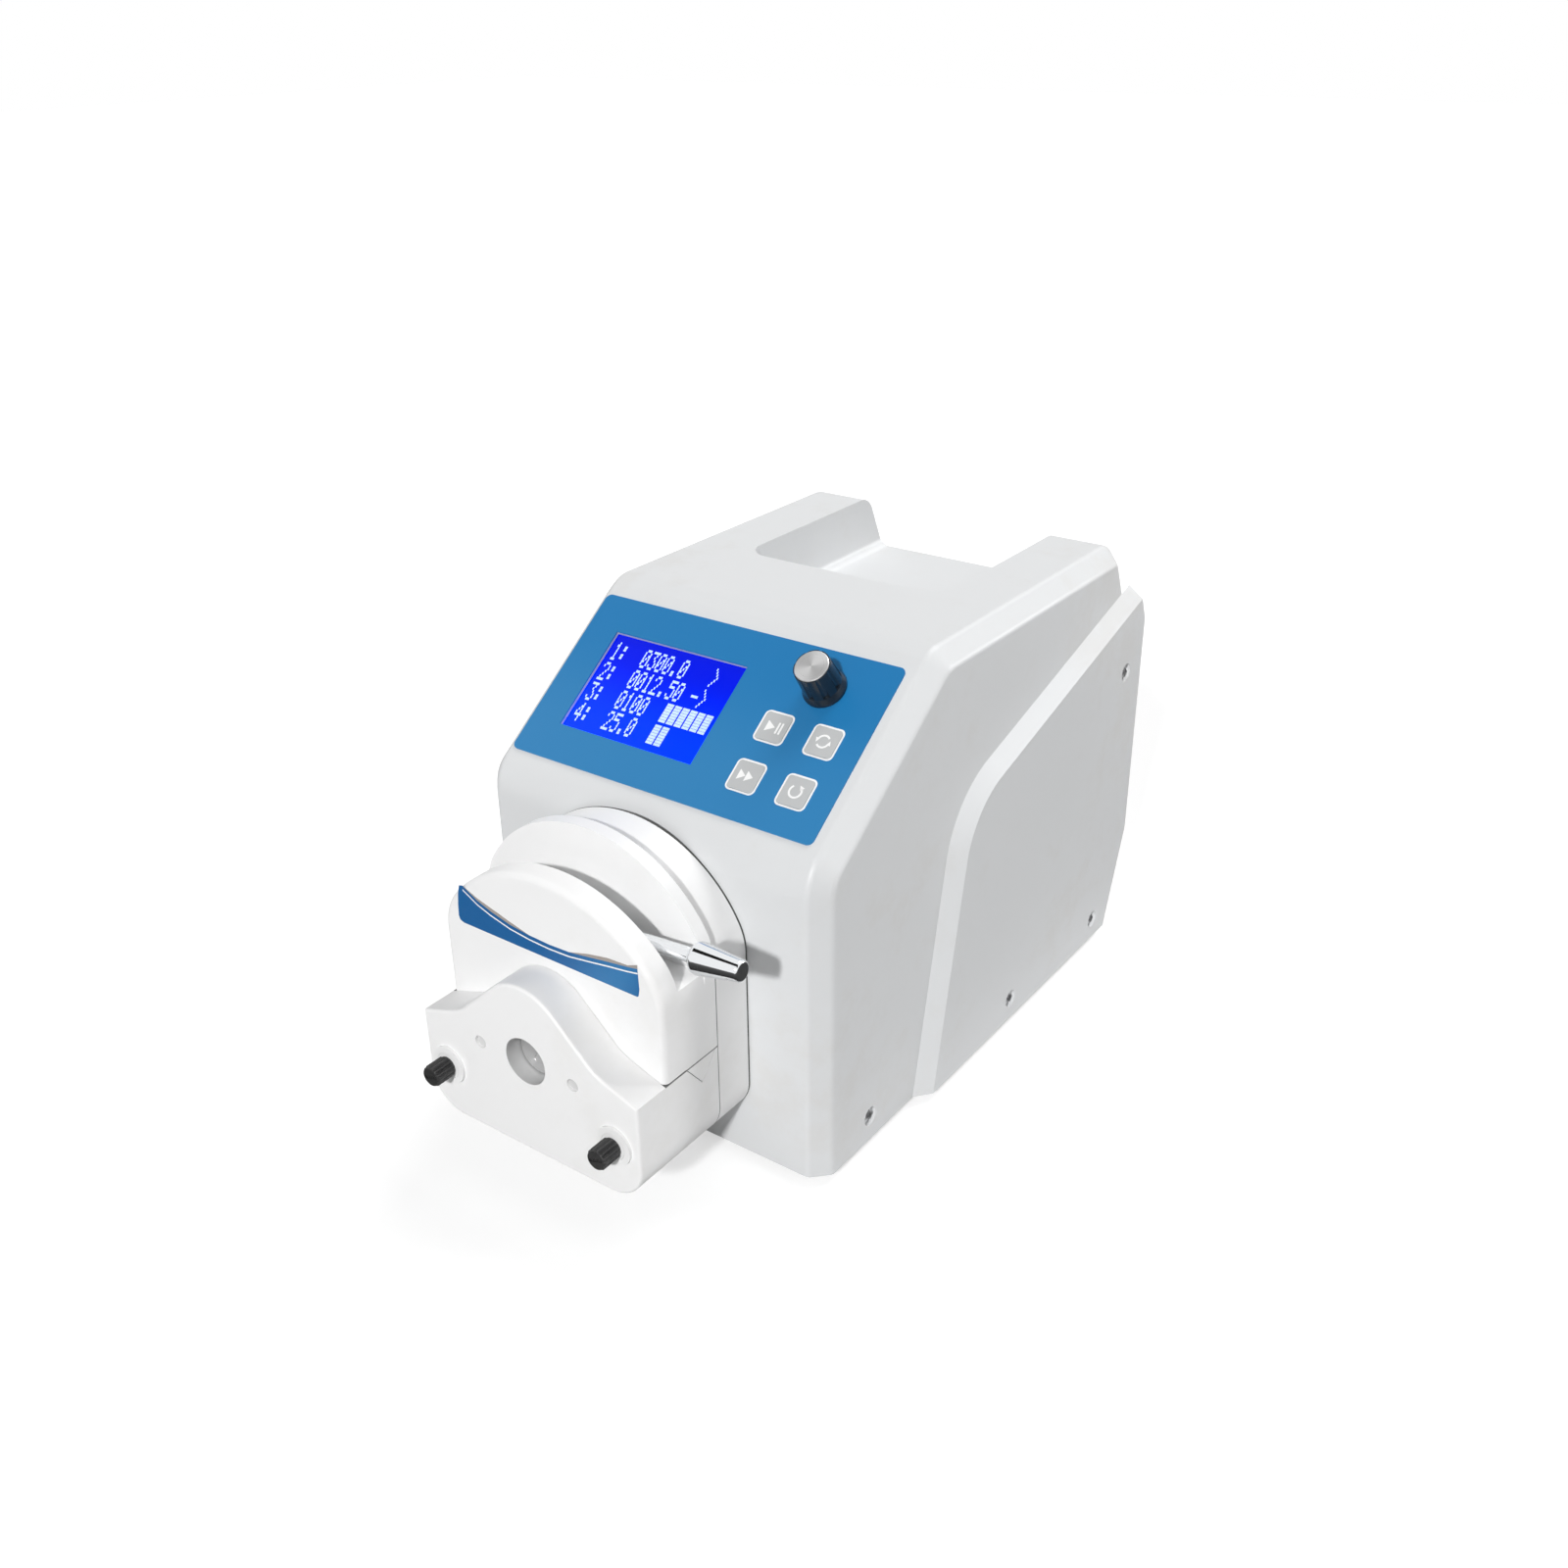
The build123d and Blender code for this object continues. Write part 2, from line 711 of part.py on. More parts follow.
with BuildPart() as speed_knob:
    knob_section = Plane(
        origin=panel_plane.from_local_coords((*speed_centre, 0)),
        x_dir=(1, 0, 0),
        z_dir=-panel_plane.y_dir,
    )
    with BuildSketch(knob_section):
        with BuildLine():
            Polyline(
                (0, knob_base),
                (speed_skirt_radius, knob_base),
                (speed_skirt_radius, knob_base + speed_skirt_height / 3),
                (speed_grip_radius, knob_base + speed_skirt_height),
                (speed_grip_radius - speed_grip_taper, knob_top - speed_cap_thickness / 2),
                (speed_cap_radius + fit_gap, knob_top - speed_cap_thickness / 2),
                (speed_cap_radius + fit_gap, knob_top - speed_cap_thickness),
                (0, knob_top - speed_cap_thickness),
                close=True,
            )
        make_face()
    revolve(axis=Axis(knob_section.origin, panel_plane.z_dir))
    # Finger flutes
    with BuildSketch(panel_plane.offset(knob_base + speed_skirt_height)):
        with Locations(speed_centre):
            with PolarLocations(speed_grip_radius + speed_flute_radius / 2, speed_flutes):
                Circle(speed_flute_radius)
    extrude(amount=speed_knob_height, mode=Mode.SUBTRACT)
    # Bore for the encoder's shaft
    with BuildSketch(panel_plane.offset(knob_base)):
        with Locations(speed_centre):
            Circle(encoder_shaft_radius + fit_gap)
    extrude(amount=encoder_grip, mode=Mode.SUBTRACT)
save(speed_knob, "speed_knob")

with BuildPart() as knob_cap:
    with BuildSketch(panel_plane.offset(knob_top - speed_cap_thickness)):
        with Locations(speed_centre):
            Circle(speed_cap_radius)
    extrude(amount=speed_cap_thickness)
    chamfer(knob_cap.edges().sort_by(Axis.Z)[-1], speed_cap_thickness / 4)
save(knob_cap, "knob_cap")

# Four keys: cap, retaining flange under the cover's wall, and stem over its switch
key_names = ("key_run", "key_direction", "key_prime", "key_mode")
for key_name, key_spot in zip(key_names, key_spots):
    with BuildPart() as key:
        with BuildSketch(panel_plane.offset(-cover_wall - slide_gap)):
            with Locations(key_spot):
                RectangleRounded(key_width, key_length, key_corner - key_clearance)
        extrude(amount=cover_wall + slide_gap + key_top)
        chamfer(key.faces().sort_by(Axis.Z)[-1].edges(), key_proud / 2)
        with BuildSketch(panel_plane.offset(-cover_wall - slide_gap)):
            with Locations(key_spot):
                Rectangle(key_width + 2 * key_flange, key_length + 2 * key_flange)
        extrude(amount=-key_flange_thickness)
        with BuildSketch(panel_plane.offset(-cover_wall - slide_gap - key_flange_thickness)):
            with Locations(key_spot):
                Circle(key_stem_radius)
        extrude(amount=-key_stem_length)
    save(key, key_name)


# ---------------------------------------------------------------- drive behind the head
def turned(depth, length, radius, bore=0.0, spot=(0, 0)):
    """Round piece on an axis along the head, from this depth forwards, with an optional bore."""
    with BuildPart() as piece:
        with BuildSketch(head_plane(depth)):
            with Locations(spot):
                Circle(radius)
                if bore:
                    Circle(bore, mode=Mode.SUBTRACT)
        extrude(amount=length)
    return piece.part


with BuildPart() as motor_plate:
    plate_foot = rotor_height - tray_thickness
    with BuildSketch(head_plane(-cover_wall)):
        with Locations((0, -plate_foot)):
            Rectangle(
                2 * motor_plate_half_width,
                plate_foot + motor_plate_rise,
                align=(Align.CENTER, Align.MIN),
            )
        Circle(coupling_radius + 2 * coupling_gap, mode=Mode.SUBTRACT)
        with Locations(*upper_bolt_spots, *lower_bolt_spots):
            Circle(head_bolt_radius + fit_gap, mode=Mode.SUBTRACT)
        with GridLocations(motor_bolt_spread, motor_bolt_spread, 2, 2):
            Circle(motor_bolt_radius + fit_gap, mode=Mode.SUBTRACT)
    extrude(amount=-motor_plate_thickness)
save(motor_plate, "motor_plate")

with BuildPart() as motor_body:
    with BuildSketch(head_plane(-motor_face)) as motor_outline:
        Rectangle(motor_size, motor_size)
        chamfer(motor_outline.vertices(), motor_corner)
    extrude(amount=-motor_length)
    # Laminated middle, waisted between the two end caps
    with BuildSketch(head_plane(-motor_face - motor_cap)):
        Rectangle(motor_size + motor_step, motor_size + motor_step)
        waist = motor_size - 2 * motor_step
        RectangleRounded(waist, waist, motor_corner, mode=Mode.SUBTRACT)
    extrude(amount=-(motor_length - 2 * motor_cap), mode=Mode.SUBTRACT)
    add(turned(-motor_face, -motor_cap, motor_shaft_radius + running_gap), mode=Mode.SUBTRACT)
    with BuildSketch(head_plane(-motor_face)):
        with GridLocations(motor_bolt_spread, motor_bolt_spread, 2, 2):
            Circle(motor_bolt_radius)
    extrude(amount=-motor_cap, mode=Mode.SUBTRACT)
save(motor_body, "motor_body")

with BuildPart() as motor_screws:
    with BuildSketch(head_plane(-cover_wall - coupling_gap)):
        with GridLocations(motor_bolt_spread, motor_bolt_spread, 2, 2):
            Circle(motor_bolt_radius - fit_gap)
    extrude(amount=-(motor_plate_thickness - coupling_gap + motor_cap - plate_gap))
save(motor_screws, "motor_screws")

with BuildPart() as motor_shaft:
    shaft_rear = -motor_face - motor_cap + plate_gap
    add(turned(shaft_rear, -coupling_gap - shaft_rear, motor_shaft_radius))
save(motor_shaft, "motor_shaft")

coupling_rear = -motor_face + 3 * coupling_gap
coupling_front = rear_bearing_rear - 3 * coupling_gap
with BuildPart() as shaft_coupling:
    add(turned(coupling_rear, coupling_front - coupling_rear, coupling_radius))
    add(turned(coupling_rear, -coupling_rear, motor_shaft_radius + fit_gap), mode=Mode.SUBTRACT)
    add(turned(0, coupling_front, shaft_radius + fit_gap), mode=Mode.SUBTRACT)
    chamfer(shaft_coupling.edges().sort_by(Axis.Y)[:1], coupling_gap)
save(shaft_coupling, "shaft_coupling")

with BuildPart() as power_supply:
    with BuildSketch(floor_plane(tray_thickness)):
        with Locations((supply_x, boards_front)):
            Rectangle(supply_width, boards_length, align=(Align.CENTER, Align.MIN))
    extrude(amount=supply_height)
save(power_supply, "power_supply")

with BuildPart() as motor_driver:
    with BuildSketch(floor_plane(tray_thickness)):
        with Locations((driver_x, boards_front)):
            Rectangle(driver_width, boards_length, align=(Align.CENTER, Align.MIN))
    extrude(amount=driver_height)
    # Heat-sink fins
    fin_pitch = driver_height / (driver_fins + 1)
    with BuildSketch(side_plane(driver_x + driver_width / 2)):
        with Locations((boards_front + boards_length / 2, tray_thickness + driver_height / 2)):
            with GridLocations(0, fin_pitch, 1, driver_fins):
                Rectangle(boards_length, fin_pitch / 2)
    extrude(amount=-driver_fin_depth, mode=Mode.SUBTRACT)
save(motor_driver, "motor_driver")

# ---------------------------------------------------------------- rear panel
def rear_plane(behind):
    """Upright plane looking out of the back, this far behind the rear panel's outer face."""
    outer = front_y + rear_depth - cover_wall
    return Plane(origin=(0, outer + behind, foot_height), x_dir=(-1, 0, 0), z_dir=(0, 1, 0))


def rear_block(x, height, width, tall, behind, length, corner=0.0):
    """Rectangular block on the rear panel, run outwards for a positive length."""
    with BuildPart() as block:
        with BuildSketch(rear_plane(behind)):
            with Locations((-x, height)):
                if corner:
                    RectangleRounded(width, tall, corner)
                else:
                    Rectangle(width, tall)
        extrude(amount=length)
    return block.part


with BuildPart() as rear_panel:
    with BuildSketch(rear_plane(0)):
        with Locations((0, panel_mid)):
            Rectangle(2 * rear_panel_half_width, rear_panel_top - rear_panel_bottom)
        with Locations((-inlet_x, inlet_height)):
            Rectangle(inlet_width + 2 * slide_gap, inlet_tall + 2 * slide_gap, mode=Mode.SUBTRACT)
        with Locations((-inlet_x, switch_height)):
            Rectangle(switch_width + 2 * slide_gap, switch_tall + 2 * slide_gap, mode=Mode.SUBTRACT)
        with Locations((-port_x, port_height)):
            Rectangle(port_width + 2 * slide_gap, port_tall + 2 * slide_gap, mode=Mode.SUBTRACT)
        # Fan guard: rings of slots round a solid middle
        with Locations((-fan_x, fan_height)):
            for ring in (1, 2):
                ring_radius = fan_hub_radius + (ring - 0.5) * guard_pitch
                with PolarLocations(ring_radius, guard_spokes):
                    SlotCenterToCenter(
                        guard_slot * ring, guard_pitch / 2, rotation=90, mode=Mode.SUBTRACT
                    )
    extrude(amount=-rear_panel_thickness)
    # Side tabs that take the upper side screws
    for side in (-1, 1):
        with BuildSketch(side_plane(side * rear_panel_half_width)):
            with Locations((rear_depth - cover_wall, upper_screw_height)):
                Rectangle(rear_tab_reach, rear_tab_height, align=(Align.MAX, Align.CENTER))
            with Locations((upper_screw_depth, upper_screw_height)):
                Circle(side_screw_radius, mode=Mode.SUBTRACT)
        extrude(amount=-side * rear_panel_thickness)
save(rear_panel, "rear_panel")

with BuildPart() as power_inlet:
    add(rear_block(inlet_x, inlet_height, inlet_width, inlet_tall, 0, -inlet_depth))
    add(
        rear_block(
            inlet_x,
            inlet_height,
            inlet_width + 2 * inlet_flange,
            inlet_tall + 2 * inlet_flange,
            0,
            inlet_flange_thickness,
            inlet_flange_corner,
        )
    )
    add(
        rear_block(
            inlet_x,
            inlet_height,
            inlet_width - 2 * inlet_wall,
            inlet_tall - 2 * inlet_wall,
            inlet_flange_thickness,
            inlet_wall - inlet_depth - inlet_flange_thickness,
            inlet_corner,
        ),
        mode=Mode.SUBTRACT,
    )
    # Two pins side by side and the earth pin above them
    with BuildSketch(rear_plane(inlet_wall - inlet_depth)):
        with Locations((-inlet_x, inlet_height)):
            with Locations(
                (-inlet_pin_pitch, -inlet_pin_drop),
                (inlet_pin_pitch, -inlet_pin_drop),
                (0, inlet_pin_drop),
            ):
                Rectangle(inlet_pin_width, 2 * inlet_pin_width)
    extrude(amount=inlet_depth - 2 * inlet_wall)
save(power_inlet, "power_inlet")

with BuildPart() as switch_bezel:
    add(rear_block(inlet_x, switch_height, switch_width, switch_tall, 0, -switch_depth))
    add(
        rear_block(
            inlet_x,
            switch_height,
            switch_width + 2 * switch_rim,
            switch_tall + 2 * switch_rim,
            0,
            switch_rim_thickness,
            switch_rim_corner,
        )
    )
    add(
        rear_block(
            inlet_x,
            switch_height,
            switch_width - 2 * switch_wall,
            switch_tall - 2 * switch_wall,
            switch_rim_thickness,
            switch_floor - switch_depth - switch_rim_thickness,
        ),
        mode=Mode.SUBTRACT,
    )
save(switch_bezel, "switch_bezel")

# Rocker: a shallow V over a round hub, resting tilted to one side of the level axis in the hub
rocker_lean = math.radians(rocker_tilt)
rocker_width = switch_width - 2 * switch_wall - 2 * plate_gap
rocker_throw = (rocker_pivot_depth + rocker_rise) * math.sin(rocker_lean)
rocker_half = (switch_tall / 2 - switch_wall - plate_gap - rocker_throw) / math.cos(rocker_lean)
with BuildPart() as power_rocker:
    rocker_plane = Plane(
        origin=(
            inlet_x - rocker_width / 2,
            front_y + rear_depth - cover_wall - rocker_pivot_depth,
            foot_height + switch_height,
        ),
        x_dir=(0, math.cos(rocker_lean), math.sin(rocker_lean)),
        z_dir=(1, 0, 0),
    )
    with BuildSketch(rocker_plane):
        with BuildLine():
            Polyline(
                (0, -rocker_hub),
                (0, rocker_hub),
                (rocker_pivot_depth - rocker_rise, rocker_half),
                (rocker_pivot_depth + rocker_rise, rocker_half),
                (rocker_pivot_depth, 0),
                (rocker_pivot_depth + rocker_rise, -rocker_half),
                (rocker_pivot_depth - rocker_rise, -rocker_half),
                close=True,
            )
        make_face()
        Circle(rocker_hub)
    extrude(amount=rocker_width)
save(power_rocker, "power_rocker")

with BuildPart() as signal_port:
    add(rear_block(port_x, port_height, port_width, port_tall, 0, -port_depth))
    add(
        rear_block(
            port_x,
            port_height,
            port_width + 2 * port_ear,
            port_tall + 2 * port_edge,
            0,
            port_flange_thickness,
        )
    )
    # Shell that the plug goes over, and the socket inside it
    shell_width = port_width - 2 * port_shell_inset[0]
    shell_tall = port_tall - 2 * port_shell_inset[1]
    add(
        rear_block(
            port_x,
            port_height,
            shell_width,
            shell_tall,
            port_flange_thickness,
            port_shell_length,
            port_shell_corner,
        )
    )
    add(
        rear_block(
            port_x,
            port_height,
            shell_width - 2 * port_shell_wall,
            shell_tall - 2 * port_shell_wall,
            port_flange_thickness + port_shell_length,
            -port_socket_depth,
            port_shell_corner - port_shell_wall / 2,
        ),
        mode=Mode.SUBTRACT,
    )
save(signal_port, "signal_port")

fan_back = -rear_panel_thickness
with BuildPart() as fan_frame:
    with BuildSketch(rear_plane(fan_back)):
        with Locations((-fan_x, fan_height)):
            RectangleRounded(fan_size, fan_size, fan_corner)
            Circle(fan_bore_radius, mode=Mode.SUBTRACT)
    extrude(amount=-fan_thickness)
    # Motor mount in the middle, on three arms
    with BuildSketch(rear_plane(fan_back - fan_thickness)):
        with Locations((-fan_x, fan_height)):
            Circle(fan_hub_radius)
            with PolarLocations(0, fan_arms):
                with Locations((fan_bore_radius / 2 + fan_spindle_radius, 0)):
                    Rectangle(fan_bore_radius, fan_arm_width)
            Circle(fan_spindle_radius + running_gap, mode=Mode.SUBTRACT)
    extrude(amount=fan_arm_thickness)
save(fan_frame, "fan_frame")

with BuildPart() as fan_rotor:
    with BuildSketch(rear_plane(fan_back - fan_thickness + fan_arm_thickness + plate_gap)):
        with Locations((-fan_x, fan_height)):
            Circle(fan_hub_radius)
    extrude(amount=fan_thickness - fan_arm_thickness - 3 * plate_gap)
    with BuildSketch(rear_plane(fan_back - fan_thickness)):
        with Locations((-fan_x, fan_height)):
            Circle(fan_spindle_radius)
    extrude(amount=fan_thickness / 2)
    blade_depth = fan_back - fan_thickness / 2 + fan_blade_shift
    blade_root = fan_hub_radius - fan_blade_root
    for blade in range(fan_blades):
        turn = blade * 360 / fan_blades
        blade_plane = Plane(
            origin=rear_plane(blade_depth).from_local_coords((-fan_x, fan_height, 0)),
            x_dir=(0, 1, 0),
            z_dir=(math.cos(math.radians(turn)), 0, math.sin(math.radians(turn))),
        )
        with BuildSketch(blade_plane.offset(blade_root)):
            Rectangle(fan_blade_chord, fan_blade_thickness, rotation=fan_blade_pitch)
        extrude(amount=fan_bore_radius - fan_tip_gap - blade_root)
save(fan_rotor, "fan_rotor")


# ---------------------------------------------------------------- fixed part of the head
def head_side(x):
    """Plane across the head at this x from its middle; local x runs forwards, extrusion to -X."""
    return Plane(origin=(head_centre_x + x, front_y, rotor_z), x_dir=(0, -1, 0), z_dir=(-1, 0, 0))


def arch(crown, arc_radius, foot, foot_radius):
    """Outline of an arched plate: straight sides under a round crown."""
    with BuildSketch() as outline:
        with Locations((0, foot)):
            Rectangle(2 * head_half_width, crown - foot, align=(Align.CENTER, Align.MIN))
        if foot_radius:
            fillet(outline.vertices().group_by(Axis.Y)[0], foot_radius)
        with BuildSketch(mode=Mode.PRIVATE) as crown_shape:
            with Locations((0, crown - arc_radius)):
                Circle(arc_radius)
            with Locations((0, foot)):
                Rectangle(
                    4 * head_half_width, crown - arc_radius - foot, align=(Align.CENTER, Align.MIN)
                )
        add(crown_shape.sketch, mode=Mode.INTERSECT)
        fillet(outline.vertices().group_by(Axis.Y)[-1], arch_shoulder_radius)
    return outline.sketch


back_plate_outline = arch(back_plate_crown, back_plate_arc, -head_base_drop, head_base_radius)

with BuildPart() as head_gasket:
    with BuildSketch(head_plane(0)):
        add(back_plate_outline)
        Circle(coupling_radius + 2 * coupling_gap, mode=Mode.SUBTRACT)
        with Locations(*upper_bolt_spots, *lower_bolt_spots):
            Circle(head_bolt_radius + plate_gap, mode=Mode.SUBTRACT)
    extrude(amount=gasket_thickness)
save(head_gasket, "head_gasket")

with BuildPart() as head_back_plate:
    with BuildSketch(head_plane(gasket_thickness)):
        add(back_plate_outline)
    extrude(amount=back_plate_front - gasket_thickness)
    # Coupling room, bearing seat, lip and rotor pocket, from the back forwards
    lip_rear = disc_pocket_rear - window_wall
    add(turned(0, rear_bearing_rear, coupling_radius + 2 * coupling_gap), mode=Mode.SUBTRACT)
    add(turned(0, lip_rear, bearing_radius + fit_gap), mode=Mode.SUBTRACT)
    add(turned(0, back_plate_front, shaft_radius + coupling_gap), mode=Mode.SUBTRACT)
    add(turned(disc_pocket_rear, back_plate_front, cavity_radius), mode=Mode.SUBTRACT)
    for spot in upper_bolt_spots:
        add(
            turned(0, gasket_thickness + head_bolt_grip, head_bolt_radius, spot=spot),
            mode=Mode.SUBTRACT,
        )
    for spot in lower_bolt_spots:
        add(turned(0, back_plate_front, head_bolt_radius, spot=spot), mode=Mode.SUBTRACT)
save(head_back_plate, "head_back_plate")

with BuildPart() as head_bolts:
    for spots, tip in (
        (upper_bolt_spots, gasket_thickness + head_bolt_grip),
        (lower_bolt_spots, back_plate_front + head_bolt_reach),
    ):
        for spot in spots:
            shank_length = motor_face + tip - coupling_gap
            head_rear = -motor_face - head_bolt_head_height
            add(turned(-motor_face, shank_length, head_bolt_radius - fit_gap, spot=spot))
            add(turned(head_rear, head_bolt_head_height, head_bolt_head_radius, spot=spot))
save(head_bolts, "head_bolts")

clamp_spots = [(side * clamp_x, -clamp_drop) for side in (-1, 1)]
post_spots = [(side * guide_post_x, 0) for side in (-1, 1)]


def vee(bottom_shift, reach):
    """Triangular run of the V joint, both sides, from this x outwards to the head's side."""
    with BuildPart() as run:
        with BuildSketch(head_side(head_half_width)):
            with BuildLine():
                Polyline(
                    (vee_centre - vee_half_width, joint_height + bottom_shift),
                    (vee_centre, joint_height + bottom_shift - vee_drop),
                    (vee_centre + vee_half_width, joint_height + bottom_shift),
                    close=True,
                )
            make_face()
        extrude(amount=reach)
        mirror(about=Plane.YZ.offset(head_centre_x))
    return run.part


with BuildPart() as lower_body:
    body_half = 2 * head_half_width
    with BuildSketch(head_plane(back_plate_front)) as block_outline:
        with Locations((0, -head_base_drop)):
            Rectangle(body_half, head_base_drop + joint_height, align=(Align.CENTER, Align.MIN))
        fillet(block_outline.vertices().group_by(Axis.Y)[0], head_base_radius)
    extrude(amount=apron_rear - back_plate_front)
    # Bell-shaped apron
    with BuildSketch(head_plane(apron_rear)):
        with BuildLine():
            slope_x, slope_height = apron_slope_point
            FilletPolyline(
                (-head_half_width, -head_base_drop),
                (head_half_width, -head_base_drop),
                (head_half_width, joint_height),
                (slope_x, slope_height),
                (0, apron_apex),
                (-slope_x, slope_height),
                (-head_half_width, joint_height),
                radius=[
                    head_base_radius,
                    head_base_radius,
                    0,
                    apron_curve_radius,
                    apron_curve_radius,
                    apron_curve_radius,
                    0,
                ],
                close=True,
            )
        make_face()
    extrude(amount=apron_front - apron_rear)
    fillet(lower_body.faces().sort_by(Axis.Y)[0].edges(), apron_edge_radius)
    # Rotor cavity, bearing seat and window
    add(turned(back_plate_front, cavity_front - back_plate_front, cavity_radius), mode=Mode.SUBTRACT)
    seat_depth = window_floor - window_wall - apron_rear
    add(turned(apron_rear, seat_depth, bearing_radius + fit_gap), mode=Mode.SUBTRACT)
    add(turned(cavity_front, window_floor - cavity_front, shaft_radius + coupling_gap), mode=Mode.SUBTRACT)
    add(turned(window_floor, apron_front, window_radius), mode=Mode.SUBTRACT)
    with BuildSketch(head_plane(cavity_front)):
        Rectangle(2 * shaft_notch, 2 * joint_height + slide_gap)
    extrude(amount=apron_rear - cavity_front, mode=Mode.SUBTRACT)
    # V grooves that the tube lies in, from the sides into the rotor cavity
    add(vee(0, head_half_width - cavity_radius + 2 * rotor_clearance), mode=Mode.SUBTRACT)
    # Pockets of the sliding clamp jaws
    for side in (-1, 1):
        with BuildSketch(head_plane(vee_centre - vee_half_width)):
            with Locations((side * (jaw_inner + jaw_outer) / 2, joint_height)):
                Rectangle(
                    jaw_outer - jaw_inner + 2 * jaw_clearance,
                    joint_height + jaw_drop + 2 * clamp_crank + jaw_clearance,
                    align=(Align.CENTER, Align.MAX),
                )
        extrude(amount=2 * vee_half_width, mode=Mode.SUBTRACT)
    # Clamp spindles, guide posts and screws
    for spot in clamp_spots:
        add(
            turned(vee_centre, apron_front, clamp_spindle_radius + running_gap, spot=spot),
            mode=Mode.SUBTRACT,
        )
    for spot in lower_bolt_spots:
        add(turned(back_plate_front, head_bolt_reach, head_bolt_radius, spot=spot), mode=Mode.SUBTRACT)
    with BuildSketch(Plane.XY.offset(rotor_z + joint_height)):
        with Locations((head_centre_x, front_y - guide_post_depth)):
            with GridLocations(2 * guide_post_x, 0, 2, 1):
                Circle(guide_post_radius)
    extrude(amount=-guide_post_root, mode=Mode.SUBTRACT)
    for side in (-1, 1):
        spot = (side * apron_screw_x, -apron_screw_drop)
        head_sink = 2 * apron_screw_sink
        head_bore = apron_screw_head_radius + fit_gap
        add(
            turned(apron_front - apron_screw_length, apron_screw_length, apron_screw_radius, spot=spot),
            mode=Mode.SUBTRACT,
        )
        add(turned(apron_front - head_sink, head_sink, head_bore, spot=spot), mode=Mode.SUBTRACT)
save(lower_body, "lower_body")

with BuildPart() as apron_screws:
    for side in (-1, 1):
        spot = (side * apron_screw_x, -apron_screw_drop)
        tip_depth = apron_front - apron_screw_length + plate_gap
        shank_length = apron_screw_length - apron_screw_sink - 2 * plate_gap
        head_rear = apron_front - 2 * apron_screw_sink
        add(turned(tip_depth, shank_length, apron_screw_radius - fit_gap, spot=spot))
        add(turned(head_rear, apron_screw_sink, apron_screw_head_radius, spot=spot))
save(apron_screws, "apron_screws")

with BuildPart() as guide_posts:
    with BuildSketch(Plane.XY.offset(rotor_z + joint_height - guide_post_root)):
        with Locations((head_centre_x, front_y - guide_post_depth)):
            with GridLocations(2 * guide_post_x, 0, 2, 1):
                Circle(guide_post_radius)
    extrude(amount=guide_post_root - joint_height + guide_post_top)
    chamfer(guide_posts.edges().group_by(Axis.Z)[-1], guide_post_radius / 4)
save(guide_posts, "guide_posts")

for bearing_name, bearing_rear in (
    ("rear_bearing", rear_bearing_rear),
    ("front_bearing", front_bearing_rear),
):
    with BuildPart() as bearing:
        add(turned(bearing_rear, bearing_width, bearing_radius, shaft_radius + fit_gap))
        # Groove between the two races, on both faces
        for face_depth in (bearing_rear, bearing_rear + bearing_width - bearing_groove):
            add(
                turned(
                    face_depth,
                    bearing_groove,
                    bearing_radius - bearing_race,
                    shaft_radius + bearing_race,
                ),
                mode=Mode.SUBTRACT,
            )
    save(bearing, bearing_name)

yoke_half_width = crank_offset + crank_pin_radius + coupling_gap + yoke_wall
yoke_half_height = crank_pin_radius + yoke_play + yoke_wall
yoke_front = rear_arch_front - rear_arch_skin - plate_gap
with BuildPart() as cam_yoke:
    with BuildSketch(head_plane(back_plate_front)):
        with Locations((0, crank_height)):
            RectangleRounded(2 * yoke_half_width, 2 * yoke_half_height, yoke_wall)
            SlotOverall(
                2 * (yoke_half_width - yoke_wall),
                2 * (yoke_half_height - yoke_wall),
                mode=Mode.SUBTRACT,
            )
    extrude(amount=yoke_front - back_plate_front)
save(cam_yoke, "cam_yoke")

with BuildPart() as clamp_collars:
    for spot in clamp_spots:
        add(
            turned(
                apron_front,
                clamp_collar_thickness,
                clamp_collar_radius,
                clamp_spindle_radius + running_gap,
                spot=spot,
            )
        )
save(clamp_collars, "clamp_collars")

